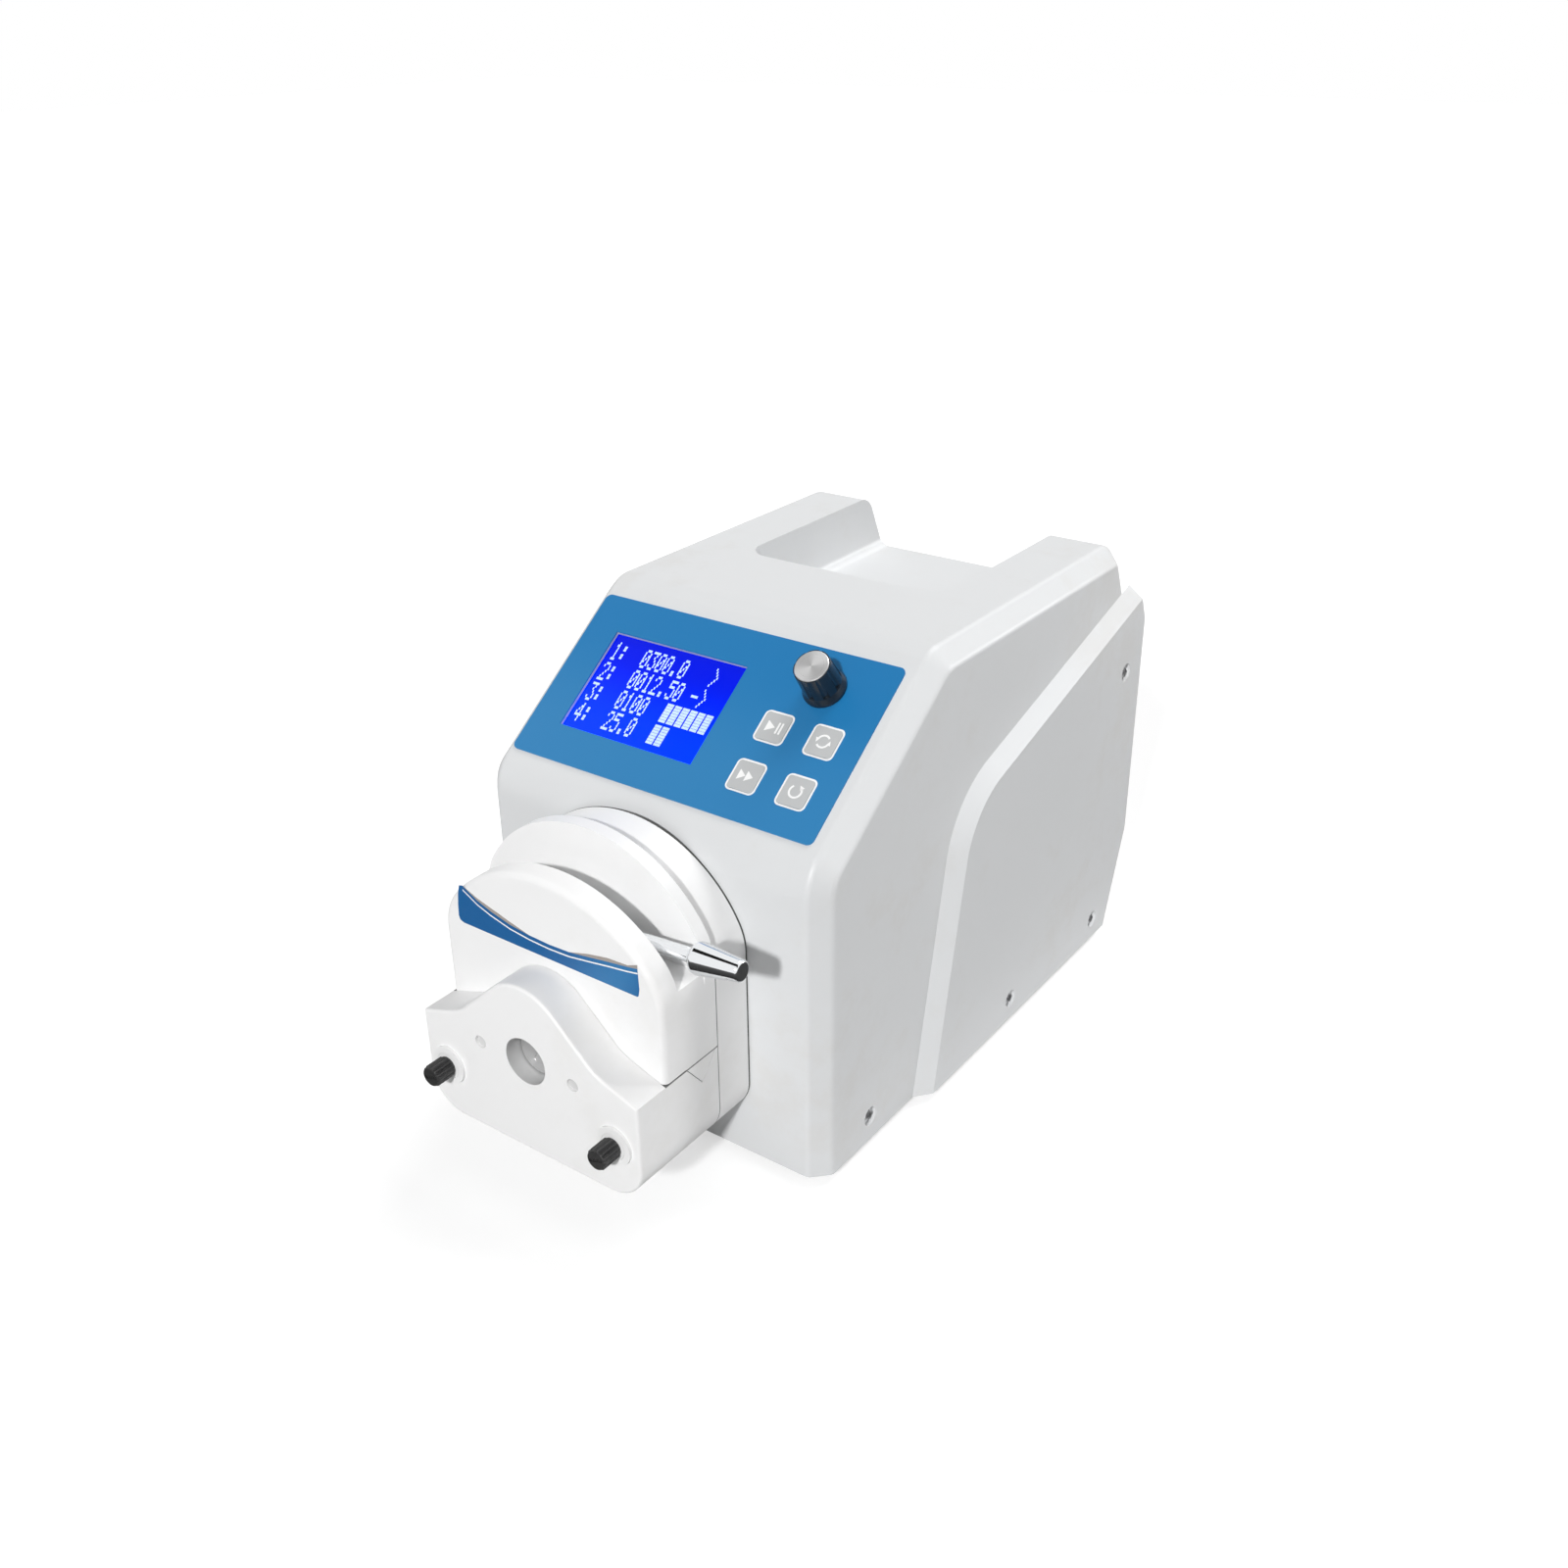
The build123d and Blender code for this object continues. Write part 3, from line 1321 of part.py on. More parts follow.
# ---------------------------------------------------------------- pressing block and lever
with BuildPart() as upper_block:
    with BuildSketch(head_plane(block_rear)):
        add(arch(front_arch_crown, front_arch_arc, block_bottom, 0))
    extrude(amount=front_arch_front - block_rear)
    fillet(
        upper_block.faces().sort_by(Axis.Y)[0].edges().sort_by(Axis.Z)[1:],
        arch_edge_radius,
    )
    with BuildSketch(head_plane(block_rear)):
        add(arch(rear_arch_crown, rear_arch_arc, block_bottom, 0))
    extrude(amount=rear_arch_front - block_rear)
    # Gap in which the lever swings
    with BuildSketch(head_plane(rear_arch_front)):
        with Locations((0, lever_gap_floor)):
            Rectangle(3 * head_half_width, rear_arch_crown, align=(Align.CENTER, Align.MIN))
        with Locations((0, lever_pivot_height)):
            Circle(lever_hub_radius + 2 * plate_gap)
    extrude(amount=front_arch_rear - rear_arch_front, mode=Mode.SUBTRACT)
    # Track that the rollers squeeze the tube against
    add(turned(back_plate_front, cavity_front - back_plate_front, track_radius), mode=Mode.SUBTRACT)
    add(turned(cavity_front, front_arch_front, shaft_notch), mode=Mode.SUBTRACT)
    # V ribs that hold the tube at both sides
    add(vee(joint_gap, vee_length))
    # Bore of the lever's pin
    pivot_spot = (0, lever_pivot_height)
    add(
        turned(front_arch_rear, lever_pin_grip, lever_pin_radius + fit_gap, spot=pivot_spot),
        mode=Mode.SUBTRACT,
    )
    # Blind pocket for the yoke, and the hole in its skin that the crank pin swings round in
    with BuildSketch(head_plane(block_rear)):
        with Locations((0, crank_height - lever_lift / 2)):
            Rectangle(
                2 * (yoke_half_width + coupling_gap),
                2 * (yoke_half_height + coupling_gap) + lever_lift,
            )
    extrude(amount=rear_arch_front - rear_arch_skin - block_rear, mode=Mode.SUBTRACT)
    crank_reach = crank_offset + crank_pin_radius + coupling_gap
    add(
        turned(block_rear, rear_arch_front - block_rear, crank_reach, spot=pivot_spot),
        mode=Mode.SUBTRACT,
    )
    # Sliding bores of the guide posts
    with BuildSketch(Plane.XY.offset(rotor_z + block_bottom)):
        with Locations((head_centre_x, front_y - guide_post_depth)):
            with GridLocations(2 * guide_post_x, 0, 2, 1):
                Circle(guide_post_radius + running_gap)
    extrude(amount=guide_post_top - block_bottom + plate_gap, mode=Mode.SUBTRACT)
save(upper_block, "upper_block")

hub_rear = lever_centre_depth - lever_hub_length / 2
with BuildPart() as lever_pin:
    pin_length = front_arch_rear + lever_pin_grip - plate_gap - hub_rear
    add(turned(hub_rear - plate_gap, pin_length, lever_pin_radius, spot=pivot_spot))
save(lever_pin, "lever_pin")

lever_angle = math.radians(lever_rest_angle)
lever_direction = (math.cos(lever_angle), 0, math.sin(lever_angle))


def lever_plane(radius):
    """Plane square to the lever's rod, this far from its pivot."""
    pivot = Vector(head_centre_x, front_y - lever_centre_depth, rotor_z + lever_pivot_height)
    place = pivot + Vector(lever_direction) * radius
    return Plane(origin=place, x_dir=(0, -1, 0), z_dir=lever_direction)


rod_root = lever_pin_radius + lever_rod_root
with BuildPart() as lever_hub:
    add(turned(hub_rear, lever_hub_length, lever_hub_radius, spot=pivot_spot))
    chamfer(lever_hub.edges().filter_by(GeomType.CIRCLE), plate_gap)
    add(
        turned(hub_rear, lever_hub_length, lever_pin_radius + running_gap, spot=pivot_spot),
        mode=Mode.SUBTRACT,
    )
    # Crank pin, through the yoke's slot
    pin_rear = back_plate_front + crank_pin_gap
    add(turned(pin_rear, hub_rear - pin_rear, crank_pin_radius, spot=(0, crank_height)))
    with BuildSketch(lever_plane(rod_root)):
        Circle(lever_rod_radius + fit_gap)
    extrude(amount=lever_hub_radius, mode=Mode.SUBTRACT)
save(lever_hub, "lever_hub")

with BuildPart() as lever_rod:
    with BuildSketch(lever_plane(rod_root)):
        Circle(lever_rod_radius)
    extrude(amount=lever_knob_start + lever_rod_grip - rod_root)
save(lever_rod, "lever_rod")

with BuildPart() as lever_knob:
    section = Plane(origin=lever_plane(0).origin, x_dir=lever_direction, z_dir=(0, -1, 0))
    with BuildSketch(section):
        with BuildLine():
            FilletPolyline(
                (lever_knob_start, 0),
                (lever_knob_start, lever_knob_radius - lever_knob_shoulder),
                (lever_knob_start + lever_knob_shoulder, lever_knob_radius),
                (lever_knob_end, lever_knob_tip_radius),
                (lever_knob_end, 0),
                radius=[0, lever_knob_shoulder_rounding, lever_knob_tip_rounding],
            )
            Line((lever_knob_end, 0), (lever_knob_start, 0))
        make_face()
    revolve(axis=Axis(section.origin, lever_direction))
    with BuildSketch(lever_plane(lever_knob_start)):
        Circle(lever_rod_radius + fit_gap)
    extrude(amount=lever_rod_grip + plate_gap, mode=Mode.SUBTRACT)
save(lever_knob, "lever_knob")

# ---------------------------------------------------------------- rotor
roller_spots = [
    (
        roller_pitch_radius * math.cos(math.radians(90 + turn * 360 / roller_count)),
        roller_pitch_radius * math.sin(math.radians(90 + turn * 360 / roller_count)),
    )
    for turn in range(roller_count)
]

with BuildPart() as drive_shaft:
    add(turned(coupling_gap, cap_front - coupling_gap - shaft_cap_skin, shaft_radius))
save(drive_shaft, "drive_shaft")

with BuildPart() as shaft_cap:
    add(turned(cap_front - shaft_cap_thickness, shaft_cap_thickness, shaft_cap_radius))
    socket_length = shaft_cap_thickness - shaft_cap_skin
    add(
        turned(cap_front - shaft_cap_thickness, socket_length, shaft_radius + fit_gap),
        mode=Mode.SUBTRACT,
    )
    with BuildSketch(head_plane(cap_front)):
        Rectangle(shaft_slot_length, shaft_slot_width, rotation=shaft_slot_angle)
    extrude(amount=-shaft_cap_skin / 2, mode=Mode.SUBTRACT)
save(shaft_cap, "shaft_cap")

with BuildPart() as front_disc:
    add(turned(front_disc_rear, disc_thickness, disc_radius, shaft_radius + fit_gap))
    for spot in roller_spots:
        add(turned(front_disc_rear, disc_thickness, axle_radius + fit_gap, spot=spot), mode=Mode.SUBTRACT)
save(front_disc, "front_disc")

with BuildPart() as rear_spool:
    spool_length = front_disc_rear - rear_disc_rear
    add(turned(rear_disc_rear, disc_thickness, disc_radius))
    add(turned(rear_disc_rear, spool_length, hub_radius))
    add(turned(rear_disc_rear, spool_length, shaft_radius + fit_gap), mode=Mode.SUBTRACT)
    for spot in roller_spots:
        add(turned(rear_disc_rear, disc_thickness, axle_radius + fit_gap, spot=spot), mode=Mode.SUBTRACT)
save(rear_spool, "rear_spool")

with BuildPart() as roller_axles:
    for spot in roller_spots:
        add(turned(rear_disc_rear, front_disc_front - rear_disc_rear, axle_radius, spot=spot))
save(roller_axles, "roller_axles")

for number, spot in enumerate(roller_spots, start=1):
    with BuildPart() as roller:
        roller_rear = vee_centre - roller_length / 2
        roller_bore = axle_radius + running_gap
        add(turned(roller_rear, roller_length, roller_radius, roller_bore, spot=spot))
        chamfer(roller.edges().filter_by(GeomType.CIRCLE).sort_by(SortBy.RADIUS)[-2:], roller_edge)
    save(roller, f"roller_{number}")

# ---------------------------------------------------------------- tube clamps
for side_name, side in (("left", -1), ("right", 1)):
    spot = (side * clamp_x, -clamp_drop)
    pin_spot = (side * clamp_x, clamp_crank - clamp_drop)
    with BuildPart() as clamp_jaw:
        jaw_side = max(side * jaw_inner, side * jaw_outer)
        with BuildSketch(head_side(jaw_side)):
            jaw_half = vee_half_width - jaw_clearance
            shoulder = joint_height - vee_drop * (1 - jaw_half / vee_half_width)
            with BuildLine():
                Polyline(
                    (vee_centre - jaw_half, -jaw_drop),
                    (vee_centre + jaw_half, -jaw_drop),
                    (vee_centre + jaw_half, shoulder),
                    (vee_centre, joint_height - vee_drop),
                    (vee_centre - jaw_half, shoulder),
                    close=True,
                )
            make_face()
        extrude(amount=jaw_outer - jaw_inner)
        with BuildSketch(head_plane(vee_centre - vee_half_width)):
            with Locations(pin_spot):
                SlotOverall(
                    2 * (clamp_crank + clamp_pin_radius + clamp_play / 2),
                    2 * (clamp_pin_radius + clamp_play),
                )
        extrude(amount=2 * vee_half_width, mode=Mode.SUBTRACT)
    save(clamp_jaw, f"clamp_jaw_{side_name}")

    with BuildPart() as clamp_spindle:
        collar_front = apron_front + clamp_collar_thickness
        spindle_length = collar_front - clamp_spindle_rear
        pin_length = clamp_spindle_rear - clamp_pin_rear
        add(turned(clamp_spindle_rear, spindle_length, clamp_spindle_radius, spot=spot))
        add(turned(collar_front, clamp_grip, clamp_spindle_radius / 2, spot=spot))
        add(turned(clamp_pin_rear, pin_length, clamp_pin_radius, spot=pin_spot))
    save(clamp_spindle, f"clamp_spindle_{side_name}")

    with BuildPart() as clamp_knob:
        add(turned(collar_front, clamp_knob_length, clamp_knob_radius, spot=spot))
        fillet(clamp_knob.edges().sort_by(Axis.Y)[0], clamp_flute_radius)
        with BuildSketch(head_plane(collar_front)):
            with Locations(spot):
                with PolarLocations(clamp_knob_radius + clamp_flute_radius / 4, clamp_knob_flutes):
                    Circle(clamp_flute_radius)
        extrude(amount=clamp_knob_length, mode=Mode.SUBTRACT)
        with BuildSketch(head_plane(knob_front)):
            with Locations(spot):
                Rectangle(2 * clamp_knob_radius, clamp_slot_width)
        extrude(amount=-clamp_slot_depth, mode=Mode.SUBTRACT)
        grip_bore = clamp_spindle_radius / 2 + fit_gap
        add(
            turned(collar_front, clamp_grip + plate_gap, grip_bore, spot=spot),
            mode=Mode.SUBTRACT,
        )
    save(clamp_knob, f"clamp_knob_{side_name}")
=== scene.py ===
import math

import bmesh
import bpy
from mathutils import Matrix, Vector


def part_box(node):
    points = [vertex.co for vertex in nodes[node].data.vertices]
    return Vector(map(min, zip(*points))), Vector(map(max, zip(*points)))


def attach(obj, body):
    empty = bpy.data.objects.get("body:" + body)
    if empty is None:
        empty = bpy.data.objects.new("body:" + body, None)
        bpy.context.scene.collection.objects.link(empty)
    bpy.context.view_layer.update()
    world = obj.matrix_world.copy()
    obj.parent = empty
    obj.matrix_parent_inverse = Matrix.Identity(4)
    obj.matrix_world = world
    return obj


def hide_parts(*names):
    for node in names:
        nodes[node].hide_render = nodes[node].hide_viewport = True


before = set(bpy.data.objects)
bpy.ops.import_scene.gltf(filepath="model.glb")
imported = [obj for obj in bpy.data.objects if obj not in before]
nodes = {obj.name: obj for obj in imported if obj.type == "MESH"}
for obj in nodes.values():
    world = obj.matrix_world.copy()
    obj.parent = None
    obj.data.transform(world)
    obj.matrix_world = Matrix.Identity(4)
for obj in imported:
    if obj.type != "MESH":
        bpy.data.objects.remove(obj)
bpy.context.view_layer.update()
scene = bpy.context.scene

# ---------------------------------------------------------------- moulded housing
# The cover is one injection moulding in white ABS, folded round the drive like a saddle.
# Its outside is a fine spark-eroded satin that softens the light, and handling leaves a
# faint unevenness in its gloss.


class Wire:
    """One socket of a material's nodes, so that sums over the surface read as plain sums."""

    def __init__(self, finish, socket):
        self.finish = finish
        self.socket = socket

    def _maths(self, operation, first, second):
        return self.finish.add("ShaderNodeMath", {"operation": operation}, {0: first, 1: second})

    def __add__(self, other):
        return self._maths("ADD", self, other)

    __radd__ = __add__

    def __sub__(self, other):
        return self._maths("SUBTRACT", self, other)

    def __rsub__(self, other):
        return self._maths("SUBTRACT", other, self)

    def __mul__(self, other):
        return self._maths("MULTIPLY", self, other)

    __rmul__ = __mul__

    def __gt__(self, other):
        return self._maths("GREATER_THAN", self, other)

    def __lt__(self, other):
        return self._maths("LESS_THAN", self, other)

    def __abs__(self):
        return self._maths("ABSOLUTE", self, 0.0)

    def wave(self):
        return self._maths("COSINE", self, 0.0)

    def turned_from(self, other):
        """Angle of the direction that has this for its rise and the other for its run."""
        return self._maths("ARCTAN2", self, other)

    def between(self, low, high):
        """1 where the value lies between the two, else 0."""
        return (self > low) * (self < high)

    def ramp(self, low, high, start=0.0, end=1.0):
        """The value carried from low..high to start..end, held at both ends."""
        settings = {"clamp": True, "interpolation_type": "SMOOTHSTEP"}
        inputs = {"Value": self, "From Min": low, "From Max": high, "To Min": start, "To Max": end}
        return self.finish.add("ShaderNodeMapRange", settings, inputs)


class Finish:
    """A procedural material: one Principled shader and the nodes that feed it."""

    def __init__(self, name, **fixed):
        self.material = bpy.data.materials.new(name)
        self.material.use_nodes = True
        self.tree = self.material.node_tree
        self.shader = self.tree.nodes["Principled BSDF"]
        for socket, value in fixed.items():
            self.shader.inputs[socket.replace("_", " ").title()].default_value = value

    def add(self, kind, settings=None, inputs=None, output=0):
        """A node of this kind, with its settings made first and then its inputs."""
        node = self.tree.nodes.new(kind)
        for key, value in (settings or {}).items():
            setattr(node, key, value)
        for key, value in (inputs or {}).items():
            self.feed(node.inputs[key], value)
        return Wire(self, node.outputs[output])

    def feed(self, socket, value):
        if isinstance(value, Wire):
            self.tree.links.new(value.socket, socket)
        else:
            socket.default_value = value

    def set(self, name, value):
        self.feed(self.shader.inputs[name], value)

    def place(self):
        """Object coordinates, in metres: the row frame, because every piece sits at the origin."""
        return self.add("ShaderNodeTexCoord", output="Object")

    def axes(self, vector=None):
        """The three parts of a vector as separate wires."""
        split = self.tree.nodes.new("ShaderNodeSeparateXYZ")
        self.feed(split.inputs[0], vector or self.place())
        return [Wire(self, socket) for socket in split.outputs]

    def vector(self, x, y, z):
        return self.add("ShaderNodeCombineXYZ", inputs={0: x, 1: y, 2: z})

    def along(self, centre, axis):
        """How far the surface lies from a centre along an axis."""
        inputs = {0: self.place(), 1: tuple(centre)}
        offset = self.add("ShaderNodeVectorMath", {"operation": "SUBTRACT"}, inputs)
        settings = {"operation": "DOT_PRODUCT"}
        return self.add("ShaderNodeVectorMath", settings, {0: offset, 1: tuple(axis)}, "Value")

    def noise(self, scale, detail=2.0, vector=None, roughness=0.5):
        inputs = {"Scale": scale, "Detail": detail, "Roughness": roughness}
        inputs["Vector"] = vector or self.place()
        return self.add("ShaderNodeTexNoise", inputs=inputs, output="Fac")

    def blend(self, amount, first, second):
        """first where amount is 0 and second where it is 1; both are colours."""
        mix = self.tree.nodes.new("ShaderNodeMix")
        mix.data_type = "RGBA"
        for key, value in (("Factor", amount), ("A", first), ("B", second)):
            sockets = [s for s in mix.inputs if s.name == key and s.enabled]
            self.feed(sockets[0], value)
        return Wire(self, [s for s in mix.outputs if s.enabled][0])

    def bump(self, height, distance, strength=1.0, normal=None):
        """Turns a height into a normal, over any normal that comes before it."""
        inputs = {"Height": height, "Distance": distance, "Strength": strength}
        if normal is not None:
            inputs["Normal"] = normal
        return self.add("ShaderNodeBump", inputs=inputs)


def tone(level, tint=(1.0, 1.0, 1.0)):
    """A colour of this level, leaning to a tint."""
    return (level * tint[0], level * tint[1], level * tint[2], 1.0)


def moulded(name, colour, dirt_and_painted_shade, grain, sheen, shade=None):
    """Moulded plastic: fine even grain, slow drift in gloss and a trace of handling marks."""
    finish = Finish(name)
    drift = finish.noise(9.0, 3.0)
    marks = finish.noise(55.0, 4.0, roughness=0.65)
    worn = (marks * drift).ramp(0.24, 0.42)
    body_colour = finish.blend(worn * 0.5, colour, dirt_and_painted_shade)
    # Painted shade: where a shade function is given, its mask darkens the colour toward its shadow
    # colour.
    if shade:
        mask, shadow = shade(finish)
        body_colour = finish.blend(mask, body_colour, shadow)
    finish.set("Base Color", body_colour)
    finish.set("Roughness", sheen + (drift - 0.5) * 0.14 + worn * 0.06)
    skin = finish.bump(finish.noise(2600.0, 2.0), grain)
    finish.set("Normal", finish.bump(drift, 0.0006, normal=skin))
    return finish.material


def dress(names, material):
    """Puts one material on CAD nodes that keep their own shape."""
    for name in names:
        slots = nodes[name].material_slots
        if len(slots) == 0:
            nodes[name].data.materials.append(material)
        for slot in slots:
            slot.material = material


housing_white = tone(0.69, (0.985, 1.0, 1.012))
housing_dirt = tone(0.64, (1.0, 0.99, 0.97))
dress(["housing_cover"], moulded("housing_plastic", housing_white, housing_dirt, 0.000035, 0.44))

# ---------------------------------------------------------------- tray and feet
# The drive is bolted to a folded steel tray, powder coated pale grey, that stands on four
# moulded rubber feet.
tray_coat = moulded("tray_powder_coat", tone(0.62), tone(0.55), 0.00012, 0.5)
dress(["base_tray"], tray_coat)


def rubber(name, level):
    """Black rubber, matt with a trace of bloom."""
    finish = Finish(name)
    bloom = finish.noise(140.0, 4.0)
    finish.set("Base Color", finish.blend(bloom.ramp(0.45, 0.7), tone(level), tone(level * 1.9)))
    finish.set("Roughness", 0.72 + (bloom - 0.5) * 0.2)
    finish.set("Normal", finish.bump(finish.noise(1800.0), 0.00003))
    return finish.material


dress(["rubber_feet"], rubber("foot_rubber", 0.028))

# ---------------------------------------------------------------- side screws
# Eight pan-head steel screws clamp the cover to the tray and to the rear panel's tabs. Each
# head is domed, with a pressed cross recess, and sits in a shallow pocket of the cover.


def brushed(name, level, along, roughness=0.3, stretch=60.0, tint=(1.0, 1.0, 1.01)):
    """Bright metal with fine lines along one axis."""
    finish = Finish(name, metallic=1.0, base_color=tone(level, tint))
    squeeze = [stretch if axis != along else 1.0 for axis in "xyz"]
    grid = finish.vector(*(part * size for part, size in zip(finish.axes(), squeeze)))
    lines = finish.noise(60.0, 3.0, vector=grid)
    haze = finish.noise(40.0, 3.0)
    finish.set("Roughness", roughness + (lines - 0.5) * 0.2 + (haze - 0.5) * 0.1)
    finish.set("Normal", finish.bump(lines, 0.00002))
    return finish.material


class Pattern:
    """A Geometry Nodes tree with named sizes, and the plain meshes that it makes."""

    def __init__(self, name, **sizes):
        self.group = bpy.data.node_groups.new(name, "GeometryNodeTree")
        sockets = self.group.interface
        sockets.new_socket("Pieces", in_out="OUTPUT", socket_type="NodeSocketGeometry")
        sockets.new_socket("Places", in_out="INPUT", socket_type="NodeSocketGeometry")
        self.identifiers = {}
        for label, value in sizes.items():
            kind = "NodeSocketInt" if isinstance(value, int) else "NodeSocketFloat"
            socket = sockets.new_socket(label, in_out="INPUT", socket_type=kind)
            socket.default_value = value
            self.identifiers[label] = socket.identifier
        self.entry = self.group.nodes.new("NodeGroupInput")

    def size(self, label):
        return self.entry.outputs[label]

    def add(self, kind, settings=None, inputs=None, output=0):
        """A node of this kind, with its settings made first and then its inputs."""
        node = self.group.nodes.new(kind)
        for key, value in (settings or {}).items():
            setattr(node, key, value)
        for key, value in (inputs or {}).items():
            if isinstance(value, bpy.types.NodeSocket):
                self.group.links.new(value, node.inputs[key])
            else:
                node.inputs[key].default_value = value
        return node.outputs[output]

    def maths(self, operation, first, second=0.0):
        return self.add("ShaderNodeMath", {"operation": operation}, {0: first, 1: second})

    def vector(self, x, y, z):
        return self.add("ShaderNodeCombineXYZ", inputs={0: x, 1: y, 2: z})

    def stand(self, piece):
        """The piece set on every place, its +Z turned to the way that the place faces."""
        settings = {"data_type": "FLOAT_VECTOR"}
        facing = self.add("GeometryNodeInputNamedAttribute", settings, {"Name": "facing"})
        turn = self.add("FunctionNodeAlignRotationToVector", {"axis": "Z"}, {"Vector": facing})
        inputs = {"Points": self.entry.outputs["Places"], "Instance": piece, "Rotation": turn}
        return self.add("GeometryNodeInstanceOnPoints", inputs=inputs)

    def close(self, geometry, material):
        """Ends the tree: real geometry in one material."""
        whole = self.add("GeometryNodeRealizeInstances", inputs={"Geometry": geometry})
        inputs = {"Geometry": whole, "Material": material}
        dressed = self.add("GeometryNodeSetMaterial", inputs=inputs)
        self.group.links.new(dressed, self.group.nodes.new("NodeGroupOutput").inputs[0])

    def make(self, name, places, facing, body, slot, **sizes):
        """One plain mesh from the tree on these places, riding on a body."""
        mesh = bpy.data.meshes.new(name)
        mesh.from_pydata([tuple(place) for place in places], [], [])
        ways = mesh.attributes.new("facing", "FLOAT_VECTOR", "POINT")
        for way, direction in zip(ways.data, facing):
            way.vector = direction
        piece = bpy.data.objects.new(name, mesh)
        scene.collection.objects.link(piece)
        modifier = piece.modifiers.new("pattern", "NODES")
        modifier.node_group = self.group
        for label, value in sizes.items():
            modifier[self.identifiers[label]] = value
        bpy.context.view_layer.update()
        shaped = piece.evaluated_get(bpy.context.evaluated_depsgraph_get())
        plain = bpy.data.meshes.new_from_object(shaped)
        piece.modifiers.clear()
        piece.data = plain
        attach(piece, body)
        return piece


def clusters(name, apart):
    """The vertices of a CAD node, sorted into the separate pieces that it holds."""
    groups = []
    for vertex in nodes[name].data.vertices:
        near = [group for group in groups if (vertex.co - group[0]).length < apart]
        if near:
            near[0].append(vertex.co.copy())
        else:
            groups.append([vertex.co.copy()])
    return groups


steel = brushed("bright_steel", 0.62, "z")
screw_head_height = 0.0014
screw = Pattern("pan_head_screw", Radius=0.0031, Height=screw_head_height, Recess=0.0008)
inputs = {
    "Vertices": 40,
    "Side Segments": 2,
    "Fill Segments": 6,
    "Radius": screw.size("Radius"),
    "Depth": screw.size("Height"),
}
blank = screw.add("GeometryNodeMeshCylinder", inputs=inputs)
spot = screw.add("GeometryNodeInputPosition")
spread = screw.add("ShaderNodeVectorMath", {"operation": "MULTIPLY"}, {0: spot, 1: (1, 1, 0)})
reach = screw.add("ShaderNodeVectorMath", {"operation": "LENGTH"}, {0: spread}, "Value")
share = screw.maths("DIVIDE", reach, screw.size("Radius"))
droop = screw.maths("MULTIPLY", screw.maths("POWER", share, 3.0), screw.size("Recess"))
height = screw.add("ShaderNodeSeparateXYZ", inputs={0: spot}, output=2)
inputs = {
    "Geometry": blank,
    "Selection": screw.maths("GREATER_THAN", height, 0.0),
    "Offset": screw.vector(0.0, 0.0, screw.maths("MULTIPLY", droop, -1.0)),
}
domed = screw.add("GeometryNodeSetPosition", inputs=inputs)
cross = screw.add("GeometryNodeJoinGeometry")
for long_side, short_side in ((1.15, 0.24), (0.24, 1.15)):
    sides = (long_side, short_side)
    across = [screw.maths("MULTIPLY", screw.size("Radius"), side) for side in sides]
    depth = screw.maths("MULTIPLY", screw.size("Recess"), 2.0)
    bar = screw.add("GeometryNodeMeshCube", inputs={"Size": screw.vector(*across, depth)})
    lift = screw.vector(0.0, 0.0, screw.maths("MULTIPLY", screw.size("Height"), 0.5))
    bar = screw.add("GeometryNodeTransform", inputs={"Geometry": bar, "Translation": lift})
    screw.group.links.new(bar, cross.node.inputs[0])
settings = {"operation": "DIFFERENCE"}
cut = screw.add("GeometryNodeMeshBoolean", settings, {"Mesh 1": domed, "Mesh 2": cross})
screw.close(screw.stand(cut), steel)

screw_places = []
screw_facing = []
for group in clusters("side_screws", 0.02):
    side = math.copysign(1.0, group[0].x)
    outer = max(abs(point.x) for point in group)
    tip = [point for point in group if abs(point.x) > outer - 0.0001]
    middle = sum(tip, Vector()) / len(tip)
    screw_places.append((side * (outer - screw_head_height / 2), middle.y, middle.z))
    screw_facing.append((side, 0.0, 0.0))
heads = screw.make("screw_heads", screw_places, screw_facing, "drive_unit", "screw_steel")
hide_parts("side_screws")

# ---------------------------------------------------------------- control panel film
# One polyester film covers the whole slope under the brow: reverse printed mid blue, paling
# towards its lower edge, with a fine matt texture. A white line is printed round each key.
panel_normal = Vector((0.0, -0.5912, 0.8065)).normalized()
panel_up = Vector((0.0, 0.8065, 0.5912)).normalized()
panel_lean = math.atan2(0.5912, 0.8065)


def panel_face(name):
    """Centre, width and length of the outermost flat face of a piece on the sloped panel."""
    points = [vertex.co for vertex in nodes[name].data.vertices]
    top = max(point.dot(panel_normal) for point in points)
    face = [point for point in points if point.dot(panel_normal) > top - 0.00002]
    across = [point.x for point in face]
    upwards = [point.dot(panel_up) for point in face]
    centre = (
        Vector(((max(across) + min(across)) / 2, 0.0, 0.0))
        + panel_up * (max(upwards) + min(upwards)) / 2
        + panel_normal * top
    )
    return centre, max(across) - min(across), max(upwards) - min(upwards)


def rounded(width, length, corner, steps=6):
    """Points round a rectangle with round corners, anticlockwise."""
    points = []
    for quarter, (side, end) in enumerate(((1, 1), (-1, 1), (-1, -1), (1, -1))):
        for step in range(steps + 1):
            angle = math.radians(90 * (quarter + step / steps))
            points.append(
                (
                    side * (width / 2 - corner) + corner * math.cos(angle),
                    end * (length / 2 - corner) + corner * math.sin(angle),
                )
            )
    return points


